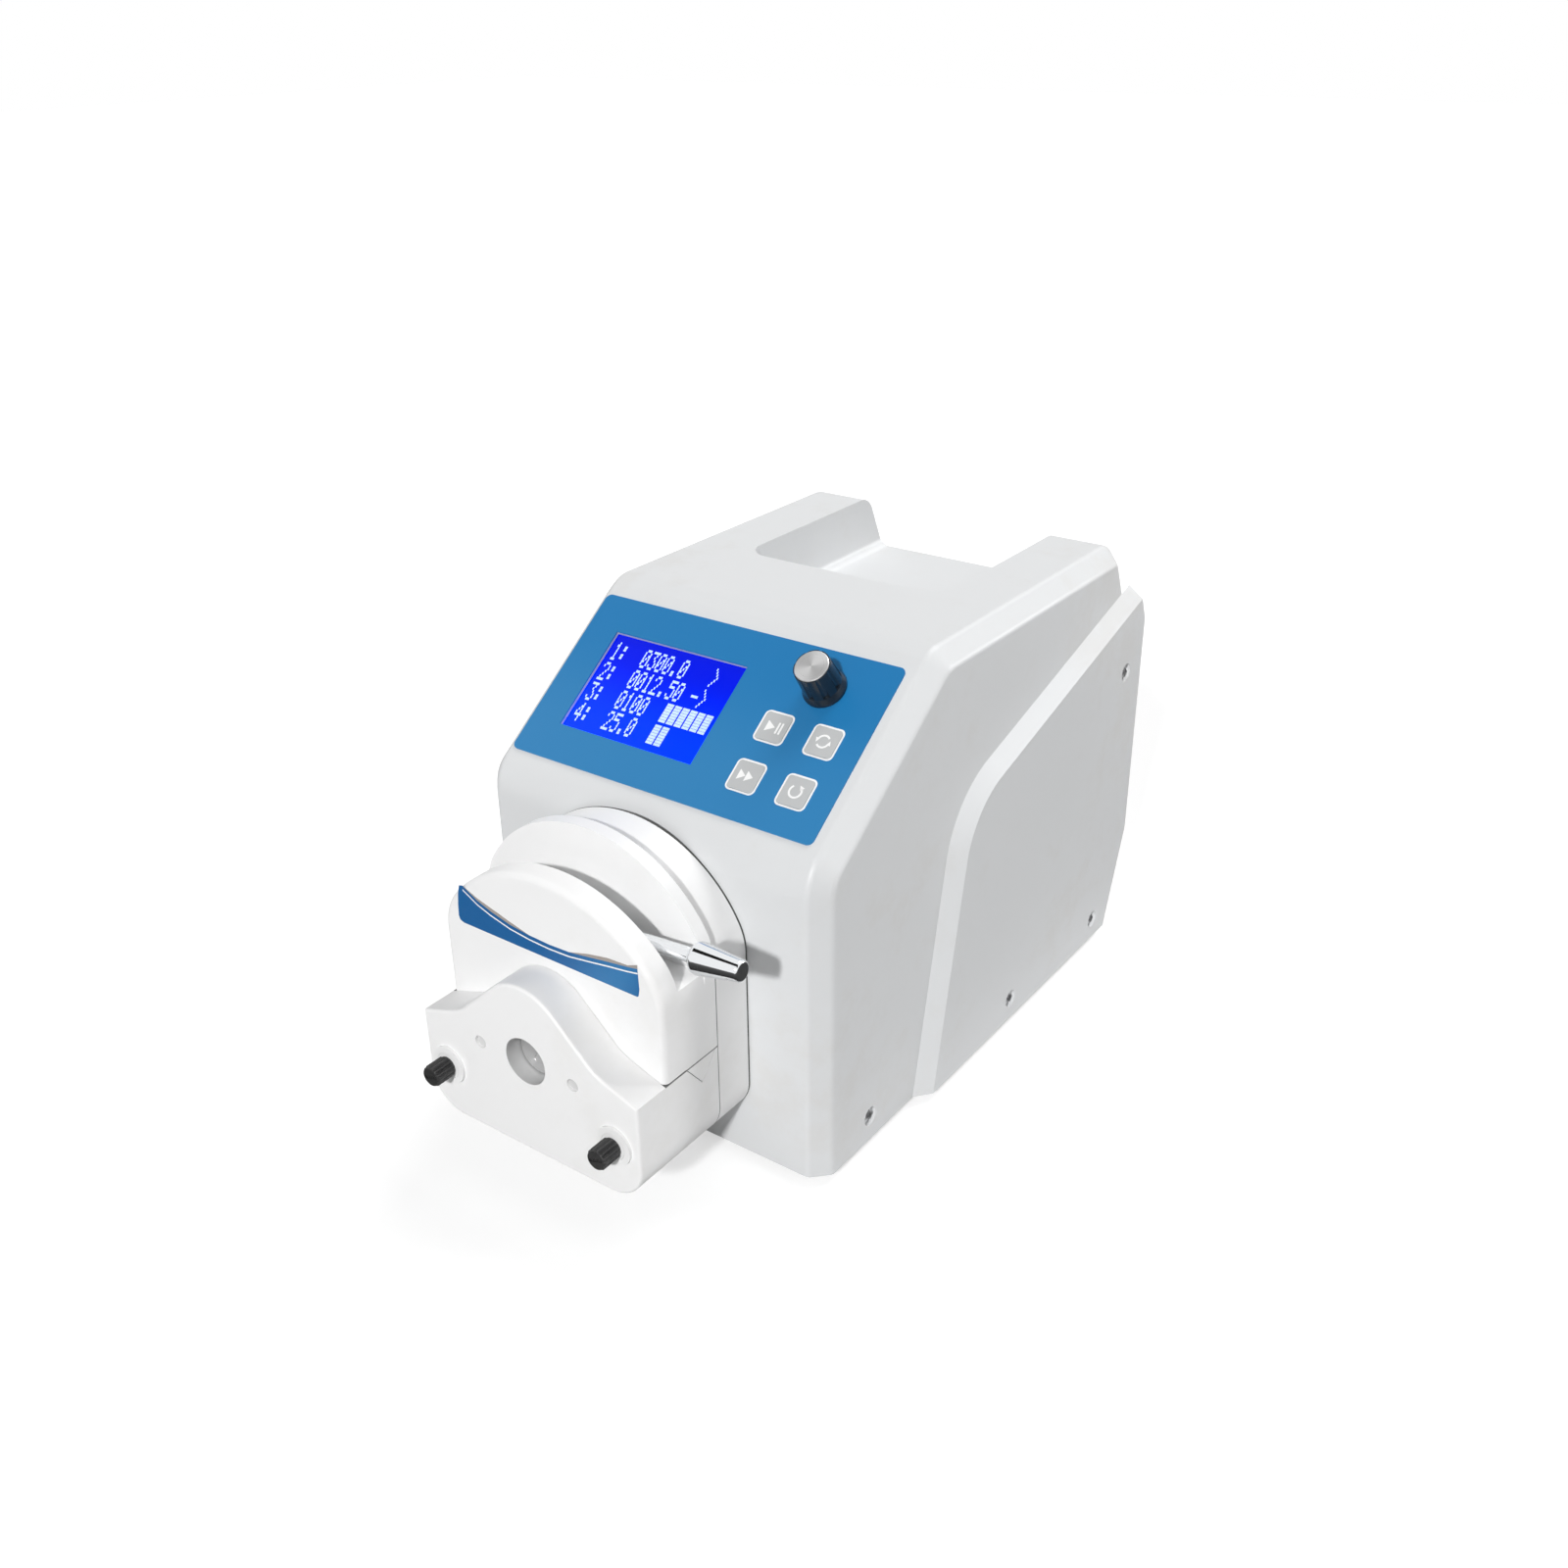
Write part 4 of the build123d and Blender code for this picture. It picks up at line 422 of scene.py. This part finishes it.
def printed(name, centre, shapes, material, body, thickness=0.00006):
    """Flat printed shapes on the panel, each an outline, or an outline with one round it."""
    shape = bmesh.new()
    for outline, hole in shapes:
        rings = []
        for level in (0.0, thickness):
            for ring in (outline, hole):
                rings.append(
                    [
                        shape.verts.new(
                            centre + Vector((x, 0, 0)) + panel_up * u + panel_normal * level
                        )
                        for x, u in ring
                    ]
                )
        low, low_hole, high, high_hole = rings
        count = len(low)
        if hole:
            bands = ((low, high), (high, high_hole), (high_hole, low_hole), (low_hole, low))
        else:
            bands = ((low, high),)
            shape.faces.new(high)
            shape.faces.new(list(reversed(low)))
        for first, second in bands:
            for index in range(count):
                after = (index + 1) % count
                shape.faces.new((first[index], first[after], second[after], second[index]))
    mesh = bpy.data.meshes.new(name)
    bmesh.ops.recalc_face_normals(shape, faces=shape.faces)
    shape.to_mesh(mesh)
    shape.free()
    mesh.materials.append(material)
    piece = bpy.data.objects.new(name, mesh)
    scene.collection.objects.link(piece)
    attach(piece, body)
    return piece


def printed_film(name, upper, lower, low, high):
    """Printed film: its colour drifts over its height and its skin is finely grained."""
    finish = Finish(name)
    height = finish.axes()[2]
    cloud = finish.noise(7.0, 2.0)
    paling = height.ramp(low, high) + (cloud - 0.5) * 0.3
    finish.set("Base Color", finish.blend(paling.ramp(0.0, 1.0), lower, upper))
    mottle = finish.noise(30.0, 3.0)
    finish.set("Roughness", 0.38 + (mottle - 0.5) * 0.12)
    finish.set("Specular IOR Level", 0.35)
    finish.set("Normal", finish.bump(finish.noise(3000.0), 0.00002))
    return finish.material


film_low, film_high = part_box("overlay_panel")
film_upper = (0.010, 0.172, 0.415, 1.0)
film_lower = (0.028, 0.200, 0.440, 1.0)
film = printed_film("panel_film", film_upper, film_lower, film_low.z, film_high.z)
dress(["overlay_panel"], film)
white_ink = moulded("white_ink", tone(0.90), tone(0.84), 0.00001, 0.4)
key_names = ("key_run", "key_direction", "key_prime", "key_mode")
film_centre = panel_face("overlay_panel")[0]
key_gap = 0.00035
key_line = 0.0007
key_corner = 0.0016
line_corner = 0.0022
for key_name in key_names:
    key_centre, key_width, key_length = panel_face(key_name)
    key_width += 2 * key_gap
    key_length += 2 * key_gap
    centre = key_centre - panel_normal * (key_centre - film_centre).dot(panel_normal)
    outline = rounded(key_width + 2 * key_line, key_length + 2 * key_line, line_corner)
    hole = rounded(key_width, key_length, key_corner)
    border = f"border_of_{key_name}"
    printed(border, centre, [(outline, hole)], white_ink, "drive_unit")

# ---------------------------------------------------------------- display
# A blue dot-matrix display behind a clear pane: sixteen characters by four rows, each built
# from five by seven square dots of pale liquid crystal over a lit blue ground. The dots here
# show plain running figures and nothing else.
glass_centre, glass_width, glass_length = panel_face("display_glass")


def lit_window(name, upper, lower, low, high, level):
    """Lit display ground: a deep blue that brightens towards its lower edge."""
    finish = Finish(name, roughness=0.2, emission_strength=level)
    height = finish.axes()[2]
    cloud = finish.noise(28.0, 2.0)
    share = (height.ramp(low, high) + (cloud - 0.5) * 0.25).ramp(0.0, 1.0)
    ground = finish.blend(share, lower, upper)
    finish.set("Base Color", ground)
    finish.set("Emission Color", ground)
    finish.set("Specular IOR Level", 0.12)
    return finish.material


pane_low, pane_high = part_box("display_glass")
pane_upper = (0.0, 0.006, 0.50, 1.0)
pane_lower = (0.0, 0.030, 0.95, 1.0)
pane = lit_window("display_pane", pane_upper, pane_lower, pane_low.z, pane_high.z, 0.62)
dress(["display_glass"], pane)
dress(["display_frame"], rubber("display_frame_black", 0.02))

dot_ink = Finish("display_dot", roughness=0.35, emission_strength=0.35)
dot_cloud = dot_ink.noise(120.0, 2.0)
dot_colour = dot_ink.blend(dot_cloud, (0.42, 0.58, 0.90, 1.0), (0.60, 0.74, 0.98, 1.0))
dot_ink.set("Base Color", dot_colour)
dot_ink.set("Emission Color", dot_colour)
digit_rows = {
    "0": (14, 17, 19, 21, 25, 17, 14),
    "1": (4, 12, 4, 4, 4, 4, 14),
    "2": (14, 17, 1, 2, 4, 8, 31),
    "3": (31, 2, 4, 2, 1, 17, 14),
    "4": (2, 6, 10, 18, 31, 2, 2),
    "5": (31, 16, 30, 1, 1, 17, 14),
    "6": (6, 8, 16, 30, 17, 17, 14),
    "7": (31, 1, 2, 4, 8, 8, 8),
    "8": (14, 17, 17, 14, 17, 17, 14),
    "9": (14, 17, 17, 15, 1, 2, 12),
    ":": (0, 12, 12, 0, 12, 12, 0),
    ".": (0, 0, 0, 0, 0, 12, 12),
    "-": (0, 0, 0, 31, 0, 0, 0),
    ">": (8, 4, 2, 1, 2, 4, 8),
    "#": (31, 31, 31, 31, 31, 31, 31),
    " ": (0, 0, 0, 0, 0, 0, 0),
}
shown = ("1:  0300.0   >  ", "2:  0012.50 ->  ", "3:  0100  ######", "4:  25.0  ##    ")
dot_height = 0.00006
dot_across = glass_width * 0.93 / 95
dot_upwards = glass_length * 0.86 / 31
dot = Pattern("display_dot", Width=dot_across * 0.86, Length=dot_upwards * 0.88, Height=dot_height)
box_size = dot.vector(dot.size("Width"), dot.size("Length"), dot.size("Height"))
cell = dot.add("GeometryNodeMeshCube", inputs={"Size": box_size})
turn = dot.add("GeometryNodeTransform", inputs={"Geometry": cell})
turn.node.inputs["Rotation"].default_value = (panel_lean, 0.0, 0.0)
inputs = {"Points": dot.entry.outputs["Places"], "Instance": turn}
dot.close(dot.add("GeometryNodeInstanceOnPoints", inputs=inputs), dot_ink.material)
dot_places = []
for row, text in enumerate(shown):
    for column, letter in enumerate(text):
        for line, bits in enumerate(digit_rows[letter]):
            for bit in range(5):
                if bits >> (4 - bit) & 1:
                    across = (column * 6 + bit - 47) * dot_across
                    upwards = (15 - row * 8 - line) * dot_upwards
                    dot_places.append(
                        glass_centre
                        + Vector((across, 0, 0))
                        + panel_up * upwards
                        + panel_normal * dot_height
                    )
dot_facing = [panel_normal] * len(dot_places)
dot.make("display_dots", dot_places, dot_facing, "drive_unit", "display_window")

# ---------------------------------------------------------------- keys
# Four square keys moulded in warm grey plastic stand through the film. Each carries a plain
# white printed sign: a triangle with two bars, a pair of arrows, two triangles, and a
# turning arrow.
key_grey = moulded("key_plastic", tone(0.50, (0.98, 1.0, 1.01)), tone(0.45), 0.00002, 0.42)
dress(key_names, key_grey)


def stroke(points, width):
    """Outline of a line of this width through the points."""
    left = []
    right = []
    for index, (x, y) in enumerate(points):
        before = points[max(index - 1, 0)]
        after = points[min(index + 1, len(points) - 1)]
        run, rise = after[0] - before[0], after[1] - before[1]
        length = math.hypot(run, rise)
        side_x, side_y = -rise / length * width / 2, run / length * width / 2
        left.append((x + side_x, y + side_y))
        right.append((x - side_x, y - side_y))
    return left + right[::-1]


def arc(centre_x, centre_y, radius, start, end, steps=14):
    """Points along an arc, its angles in degrees."""
    turns = [math.radians(start + (end - start) * step / steps) for step in range(steps + 1)]
    return [(centre_x + radius * math.cos(a), centre_y + radius * math.sin(a)) for a in turns]


def arrow_head(x, y, angle, size):
    """A triangle whose tip points along the angle in degrees."""
    way = math.radians(angle)
    corners = []
    for offset, length in ((0, size), (125, size * 0.85), (235, size * 0.85)):
        turned = way + math.radians(offset)
        corners.append((x + length * math.cos(turned), y + length * math.sin(turned)))
    return corners


sign_line = 0.00075
signs = {
    "key_run": [
        [(-0.0030, 0.0022), (-0.0030, -0.0022), (0.0007, 0.0)],
        stroke([(0.0018, 0.0023), (0.0018, -0.0023)], sign_line),
        stroke([(0.0032, 0.0023), (0.0032, -0.0023)], sign_line),
    ],
    "key_direction": [
        stroke(arc(0.0, 0.0, 0.0024, 40, 160), sign_line),
        stroke(arc(0.0, 0.0, 0.0024, 220, 340), sign_line),
        arrow_head(-0.0026, 0.0004, 265, 0.0012),
        arrow_head(0.0026, -0.0004, 85, 0.0012),
    ],
    "key_prime": [
        [(-0.0031, 0.0021), (-0.0031, -0.0021), (-0.0001, 0.0)],
        [(0.0001, 0.0021), (0.0001, -0.0021), (0.0031, 0.0)],
    ],
    "key_mode": [
        stroke(arc(0.0, 0.0, 0.0024, 130, 400, 22), sign_line),
        arrow_head(0.0017, 0.0018, 140, 0.0013),
    ],
}
for key_name, outlines in signs.items():
    key_centre = panel_face(key_name)[0]
    shapes = [(outline, []) for outline in outlines]
    printed(f"sign_of_{key_name}", key_centre, shapes, white_ink, key_name)

# ---------------------------------------------------------------- speed knob
# The speed knob is a fluted black moulding with a turned aluminium disc glued into its end.
# It is pushed onto the flatted shaft of the encoder.
knob_black = moulded("knob_plastic", (0.010, 0.017, 0.026, 1.0), tone(0.022), 0.000008, 0.24)
dress(["speed_knob"], knob_black)


def spun(name, level, centre, axis, rings=1400.0, painted_sheen_wedges=0.0):
    """Turned face: fine rings about an axis through the centre, with a fan of painted sheen in its
    colour.
    """
    finish = Finish(name, metallic=0.85)
    side = axis.orthogonal().normalized()
    first = finish.along(centre, side)
    second = finish.along(centre, axis.cross(side))
    squared = first * first + second * second
    distance = finish.add("ShaderNodeMath", {"operation": "SQRT"}, {0: squared})
    ring = finish.noise(rings, 1.0, vector=finish.vector(distance, 0.0, 0.0))
    # Painted sheen: the colour darkens in wedges round the centre, standing in for how a spun face
    # reflects light.
    fan = (first.turned_from(second) * 2.0 + 0.6).wave().ramp(-1.0, 1.0)
    finish.set("Base Color", finish.blend(fan * painted_sheen_wedges, tone(level), tone(level * 0.55)))
    finish.set("Roughness", 0.30 + (ring - 0.5) * 0.16)
    finish.set("Normal", finish.bump(ring, 0.00002))
    return finish.material


cap_centre = sum(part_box("knob_cap"), Vector()) / 2
# The knob cap's colour carries that painted sheen; the shaft cap further down has none.
dress(["knob_cap"], spun("knob_cap_spun", 0.88, cap_centre, panel_normal, painted_sheen_wedges=0.7))

# ---------------------------------------------------------------- rear fittings and drive
# Behind, a steel panel carries the mains inlet, the rocker switch, the control port and the
# fan, all bought-in parts in black plastic or plated steel. Inside stand the boards, the
# supply and the stepper motor, which the closed cover hides.
dress(["rear_panel"], tray_coat)
black_moulding = moulded("black_moulding", tone(0.022), tone(0.034), 0.00004, 0.4)
black_parts = ("power_inlet", "switch_bezel", "power_rocker", "fan_frame", "fan_rotor")
dress(black_parts + ("motor_body", "motor_driver"), black_moulding)
dress(["signal_port", "power_supply", "encoder_body", "motor_shaft", "motor_screws"], steel)
dress(["encoder_shaft", "head_bolts"], steel)
dress(["control_board"], moulded("board", (0.02, 0.13, 0.05, 1.0), tone(0.03), 0.00003, 0.3))
dress(["head_gasket"], rubber("gasket_rubber", 0.05))
aluminium = brushed("aluminium", 0.66, "x", 0.34)
dress(["motor_plate", "shaft_coupling", "front_disc", "rear_spool"], aluminium)

# ---------------------------------------------------------------- pump head
# The head is machined and moulded in bright white resin: a back plate bolted to the cover, a
# lower body that holds the rotor, and an upper block that slides down on two posts and shuts
# the tube's track. Where the blocks meet, painted shade draws a thin dark line, and painted
# shade darkens the inside of the shaft window's bore.
joint_z = 0.0629
plate_y = -0.0976
window_x, _, window_z = sum(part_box("shaft_cap"), Vector()) / 2
window_reach = 0.00925


def painted_seam_and_bore_shade(finish):
    """Mask and colour of painted shade: thin lines along the joints between the blocks, and the
    inside of the shaft bore.
    """
    x, y, z = finish.axes()
    # Painted shade: thin lines either side of the seams between the blocks, where their gaps lie in
    # shade.
    level_joint = z.between(joint_z - 0.0003, joint_z + 0.0003) * y.between(-0.1262, -0.0974)
    plate_joint = y.between(plate_y - 0.00022, plate_y + 0.00022)
    across = x - window_x
    rise = z - window_z
    # Painted shade inside the bore of the shaft window, taken at half strength below.
    bore = ((across * across + rise * rise) < window_reach * window_reach) * (y < -0.12)
    lines = finish.add("ShaderNodeMath", {"operation": "MAXIMUM"}, {0: level_joint, 1: plate_joint})
    ragged = finish.noise(90.0, 3.0).ramp(0.2, 0.6, 0.75, 1.0)
    inputs = {0: lines * ragged, 1: bore * 0.5}
    dirt_and_painted_shade = finish.add("ShaderNodeMath", {"operation": "MAXIMUM"}, inputs)
    return dirt_and_painted_shade, tone(0.16, (0.98, 1.0, 1.0))


head_white = tone(0.88)
head_tint = tone(0.83, (1.0, 0.995, 0.98))
# The head's blocks carry the painted shade; the clamp parts take the plain finish.
head_plastic_painted_shade = moulded("head_plastic_painted_shade", head_white, head_tint, 0.00002, 0.36, painted_seam_and_bore_shade)
plain_head = moulded("head_plain", head_white, head_tint, 0.00002, 0.36)
dress(["head_back_plate", "lower_body", "upper_block"], head_plastic_painted_shade)
white_parts = ["clamp_jaw_left", "clamp_jaw_right", "clamp_spindle_left"]
dress(white_parts + ["clamp_spindle_right", "clamp_collars"], plain_head)
dress(["apron_screws"], moulded("screw_caps", tone(0.62), tone(0.5), 0.00002, 0.4))
ground = brushed("ground_steel", 0.62, "y", 0.22)
dress(["lever_pin", "drive_shaft", "roller_1", "roller_2", "roller_3"], ground)
dress(["roller_axles", "guide_posts", "rear_bearing", "front_bearing"], ground)
bronze = Finish("bronze", metallic=1.0)
tarnish = bronze.noise(60.0, 4.0)
bronze.set("Base Color", bronze.blend(tarnish, (0.62, 0.44, 0.22, 1.0), (0.48, 0.32, 0.15, 1.0)))
bronze.set("Roughness", 0.34 + (tarnish - 0.5) * 0.2)
dress(["cam_yoke"], bronze.material)
shaft_end = sum(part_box("shaft_cap"), Vector()) / 2
dress(["shaft_cap"], spun("shaft_cap_turned", 0.74, shaft_end, Vector((0.0, 1.0, 0.0))))

# ---------------------------------------------------------------- lever
# The lever is turned steel in bright chrome: a straight rod with a rounded knob, screwed into
# a round hub that turns on a pin between the two arches. Its plating is mirror smooth with
# the faintest haze of handling.
chrome = Finish("lever_chrome", metallic=1.0, base_color=tone(0.86, (0.98, 1.0, 1.02)))
haze = chrome.noise(90.0, 4.0)
chrome.set("Roughness", haze.ramp(0.35, 0.75, 0.05, 0.12))
chrome.set("Normal", chrome.bump(chrome.noise(35.0, 1.0), 0.00002))
dress(["lever_rod", "lever_knob", "lever_hub"], chrome.material)

# ---------------------------------------------------------------- label of the front arch
# A printed film label crosses the face of the front arch: a blue field with a sagging upper
# edge, a white line beneath that edge and a warm grey sliver over both of its ends.
arch_face = min(v.co.y for v in nodes["upper_block"].data.vertices)
label_edge = [
    (-43.6, 111.4), (-36.8, 107.6), (-30.6, 105.4), (-21.4, 103.1), (-12.3, 102.0),
    (-3.2, 101.6), (5.9, 101.9), (14.8, 103.2), (23.7, 104.6), (32.3, 105.8), (36.6, 106.6),
]
label_foot = [(36.9, 98.7), (36.4, 95.9), (35.8, 95.4), (-45.0, 95.7), (-46.6, 96.4)]
label_foot += [(-47.2, 98.0), (-46.9, 102.6), (-46.3, 107.3), (-45.3, 110.9)]
field_lift = 0.00005
sliver_lift = 0.00007
stripe_lift = 0.00009


def laid(name, outline, material, lift):
    """A thin printed shape on the face of the front arch."""
    shape = bmesh.new()
    rings = []
    for depth in (0.0, lift):
        y = arch_face - depth
        rings.append([shape.verts.new((x / 1000, y, z / 1000)) for x, z in outline])
    shape.faces.new(rings[0])
    shape.faces.new(rings[1])
    for index in range(len(outline)):
        after = (index + 1) % len(outline)
        sides = (rings[0][index], rings[0][after], rings[1][after], rings[1][index])
        shape.faces.new(sides)
    bmesh.ops.recalc_face_normals(shape, faces=shape.faces)
    mesh = bpy.data.meshes.new(name)
    shape.to_mesh(mesh)
    shape.free()
    mesh.materials.append(material)
    piece = bpy.data.objects.new(name, mesh)
    scene.collection.objects.link(piece)
    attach(piece, "upper_block")


label_ink = Finish("label_blue", roughness=0.36)
across, _, upwards = label_ink.axes()
flare = (across + upwards * -0.55).ramp(-0.052, -0.028)
flare = flare * (across + upwards * -0.55).ramp(-0.026, -0.010, 1.0, 0.0)
mottle = label_ink.noise(40.0, 3.0)
deep = (0.010, 0.108, 0.310, 1.0)
light = (0.040, 0.200, 0.440, 1.0)
label_ink.set("Specular IOR Level", 0.3)
label_ink.set("Base Color", label_ink.blend(flare * 0.8 + mottle * 0.12, deep, light))
label_ink.set("Normal", label_ink.bump(label_ink.noise(2400.0), 0.00001))
label_grey = moulded("label_grey", (0.36, 0.32, 0.29, 1.0), tone(0.32), 0.00001, 0.4)
laid("label_field", label_edge + label_foot, label_ink.material, field_lift)
line_width = 0.55
line_drop = 1.5
sliver_height = 1.5
stripe = [(x, z - line_drop) for x, z in label_edge]
stripe += [(x, z - line_drop - line_width) for x, z in reversed(label_edge)]
laid("label_stripe", stripe, white_ink, stripe_lift)
for end, points in (("left", label_edge[:5]), ("right", label_edge[-5:])):
    low_x, high_x = points[0][0], points[-1][0]
    swell = [math.sin(math.pi * (x - low_x) / (high_x - low_x)) for x, _ in points[1:-1]]
    rise = [(x, z + sliver_height * share) for (x, z), share in zip(points[1:-1], swell)]
    if end == "right":
        rise.append((high_x, points[-1][1] + sliver_height))
    sliver = points + rise[::-1]
    laid(f"label_sliver_{end}", sliver, label_grey, sliver_lift)

# ---------------------------------------------------------------- tube clamp knobs
# Two small black moulded knobs, fluted for the fingers and slotted for a blade, stand on the
# clamp spindles that come out through the apron. Each turns the crank that lowers a V jaw.
clamp_black = moulded("clamp_knob_plastic", tone(0.030), tone(0.05), 0.00002, 0.36)
knob_length = 0.0086
sizes = {"Radius": 0.0042, "Length": knob_length, "Flute": 0.0004, "Slot": 0.0012}
knob = Pattern("clamp_knob", Flutes=14, **sizes)
inputs = {
    "Vertices": 112,
    "Side Segments": 10,
    "Fill Segments": 5,
    "Radius": knob.size("Radius"),
    "Depth": knob.size("Length"),
}
blank = knob.add("GeometryNodeMeshCylinder", inputs=inputs)
spot = knob.add("GeometryNodeInputPosition")
parts = knob.add("ShaderNodeSeparateXYZ", inputs={0: spot})
x_part, y_part, z_part = parts.node.outputs
angle = knob.maths("ARCTAN2", y_part, x_part)
waves = knob.maths("COSINE", knob.maths("MULTIPLY", angle, knob.size("Flutes")))
depth = knob.maths("MULTIPLY", knob.maths("ADD", waves, -1.0), knob.size("Flute"))
flat_spot = knob.add("ShaderNodeVectorMath", {"operation": "MULTIPLY"}, {0: spot, 1: (1, 1, 0)})
outward = knob.add("ShaderNodeVectorMath", {"operation": "NORMALIZE"}, {0: flat_spot})
reach = knob.add("ShaderNodeVectorMath", {"operation": "LENGTH"}, {0: flat_spot}, "Value")
rim = knob.maths("GREATER_THAN", reach, knob.maths("MULTIPLY", knob.size("Radius"), 0.97))
middle = knob.maths("MULTIPLY", knob.size("Length"), 0.42)
height = knob.maths("ABSOLUTE", z_part)
barrel = knob.maths("LESS_THAN", height, middle)
push = knob.maths("MULTIPLY", depth, knob.maths("MULTIPLY", rim, barrel))
chamfer = knob.maths("MULTIPLY", knob.maths("SUBTRACT", 1.0, barrel), rim)
push = knob.maths("SUBTRACT", push, knob.maths("MULTIPLY", chamfer, 0.0006))
scaled = {0: outward, "Scale": push}
move = knob.add("ShaderNodeVectorMath", {"operation": "SCALE"}, scaled)
fluted = knob.add("GeometryNodeSetPosition", inputs={"Geometry": blank, "Offset": move})
across = knob.maths("MULTIPLY", knob.size("Radius"), 1.5)
box_size = knob.vector(across, knob.size("Slot"), knob.size("Slot"))
bar = knob.add("GeometryNodeMeshCube", inputs={"Size": box_size})
lift = knob.vector(0.0, 0.0, knob.maths("MULTIPLY", knob.size("Length"), 0.5))
bar = knob.add("GeometryNodeTransform", inputs={"Geometry": bar, "Translation": lift})
bar.node.inputs["Rotation"].default_value = (0.0, 0.0, math.radians(20))
settings = {"operation": "DIFFERENCE"}
cut = knob.add("GeometryNodeMeshBoolean", settings, {"Mesh 1": fluted, "Mesh 2": bar})
knob.close(knob.stand(cut), clamp_black)
collar_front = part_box("clamp_collars")[0].y
for side in ("left", "right"):
    middle = sum(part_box(f"clamp_knob_{side}"), Vector()) / 2
    place = (middle.x, collar_front - knob_length / 2, middle.z)
    body = f"clamp_{side}"
    piece = knob.make(f"knob_{side}", [place], [(0.0, -1.0, 0.0)], body, "clamp_black")
    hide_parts(f"clamp_knob_{side}")

# ---------------------------------------------------------------- floor, light and camera
# The pump stands on a plain pale floor in a bright studio: the key lamp is in front, two
# softer ones stand behind, and the room gives the rest. Flat dark cards that only mirrors
# see give the chrome its dark bands.
floor_half = 6.0
corners = [(-1, -1), (1, -1), (1, 1), (-1, 1)]
floor_mesh = bpy.data.meshes.new("floor")
corner_places = [(floor_half * x, floor_half * y, 0.0) for x, y in corners]
floor_mesh.from_pydata(corner_places, [], [(0, 1, 2, 3)])
floor = bpy.data.objects.new("floor", floor_mesh)
scene.collection.objects.link(floor)
floor_finish = Finish("floor_white", base_color=tone(0.55), roughness=0.9)
rays = floor_finish.tree.nodes.new("ShaderNodeLightPath")
seen_by_camera = Wire(floor_finish, rays.outputs["Is Camera Ray"])
lit = Wire(floor_finish, floor_finish.shader.outputs[0])
inputs = {"Color": (1, 1, 1, 1), "Strength": 0.58}
glow = floor_finish.add("ShaderNodeEmission", inputs=inputs)
both = floor_finish.add("ShaderNodeAddShader", inputs={0: lit, 1: glow})
choice = floor_finish.add("ShaderNodeMixShader", inputs={0: seen_by_camera, 1: lit, 2: both})
floor_output = floor_finish.tree.nodes["Material Output"]
floor_finish.tree.links.new(choice.socket, floor_output.inputs[0])
floor_mesh.materials.append(floor_finish.material)

world = bpy.data.worlds.new("studio")
world.use_nodes = True
scene.world = world
sky = world.node_tree
back = sky.nodes["Background"]
back.inputs["Color"].default_value = (1, 1, 1, 1)
path = sky.nodes.new("ShaderNodeLightPath")
ambient = 0.18
strength = None
for ray in ("Is Camera Ray", "Is Glossy Ray", "Is Transmission Ray"):
    larger = sky.nodes.new("ShaderNodeMath")
    larger.operation = "MAXIMUM"
    sky.links.new(path.outputs[ray], larger.inputs[0])
    if strength is None:
        larger.inputs[1].default_value = ambient
    else:
        sky.links.new(strength, larger.inputs[1])
    strength = larger.outputs[0]
sky.links.new(strength, back.inputs["Strength"])


def lamp(name, travel, strength, spread):
    """A distant lamp whose light travels this way."""
    light = bpy.data.lights.new(name, "SUN")
    light.energy = strength
    light.angle = math.radians(spread)
    holder = bpy.data.objects.new(name, light)
    holder.rotation_mode = "QUATERNION"
    holder.rotation_quaternion = Vector(travel).to_track_quat("-Z", "Y")
    scene.collection.objects.link(holder)


lamp("key_light", (-0.24, 0.82, -0.50), 2.5, 4.0)
lamp("top_light", (-0.10, -0.55, -0.83), 1.6, 30.0)
lamp("rim_light", (-0.60, -0.78, -0.20), 1.0, 12.0)


def card(name, low, high, level):
    """A level dark card between two corners at one height, which only mirrors see."""
    (west, south), (east, north) = low, high
    corners = [(west, south), (east, south), (east, north), (west, north)]
    mesh = bpy.data.meshes.new(name)
    mesh.from_pydata([(x, y, level) for x, y in corners], [], [(0, 1, 2, 3)])
    panel = bpy.data.objects.new(name, mesh)
    scene.collection.objects.link(panel)
    mesh.materials.append(Finish(name, base_color=tone(0.01), roughness=1.0).material)
    panel.visible_camera = False
    panel.visible_diffuse = False
    panel.visible_transmission = False
    panel.visible_shadow = False


card("front_card", (-1.2, -1.6), (1.4, -0.16), 0.002)
card("right_card", (0.10, -0.16), (1.4, 0.5), 0.002)
card("upper_card", (-0.6, -0.5), (1.4, -0.15), 0.9)

camera_place = Vector((0.3298, -0.4471, 0.3908))
camera_yaw, camera_pitch, camera_roll = (math.radians(a) for a in (36.0, 26.71, -0.71))
forward = Vector(
    (
        -math.sin(camera_yaw) * math.cos(camera_pitch),
        math.cos(camera_yaw) * math.cos(camera_pitch),
        -math.sin(camera_pitch),
    )
)
level_right = Vector((math.cos(camera_yaw), math.sin(camera_yaw), 0.0))
level_up = level_right.cross(forward)
right = level_right * math.cos(camera_roll) + level_up * math.sin(camera_roll)
up = right.cross(forward)
lens = bpy.data.cameras.new("camera")
lens.lens = 36.23
lens.sensor_width = 36.0
camera = bpy.data.objects.new("camera", lens)
camera.matrix_world = Matrix(
    (
        (right.x, up.x, -forward.x, camera_place.x),
        (right.y, up.y, -forward.y, camera_place.y),
        (right.z, up.z, -forward.z, camera_place.z),
        (0.0, 0.0, 0.0, 1.0),
    )
)
scene.collection.objects.link(camera)
scene.camera = camera
scene.view_settings.view_transform = "Standard"
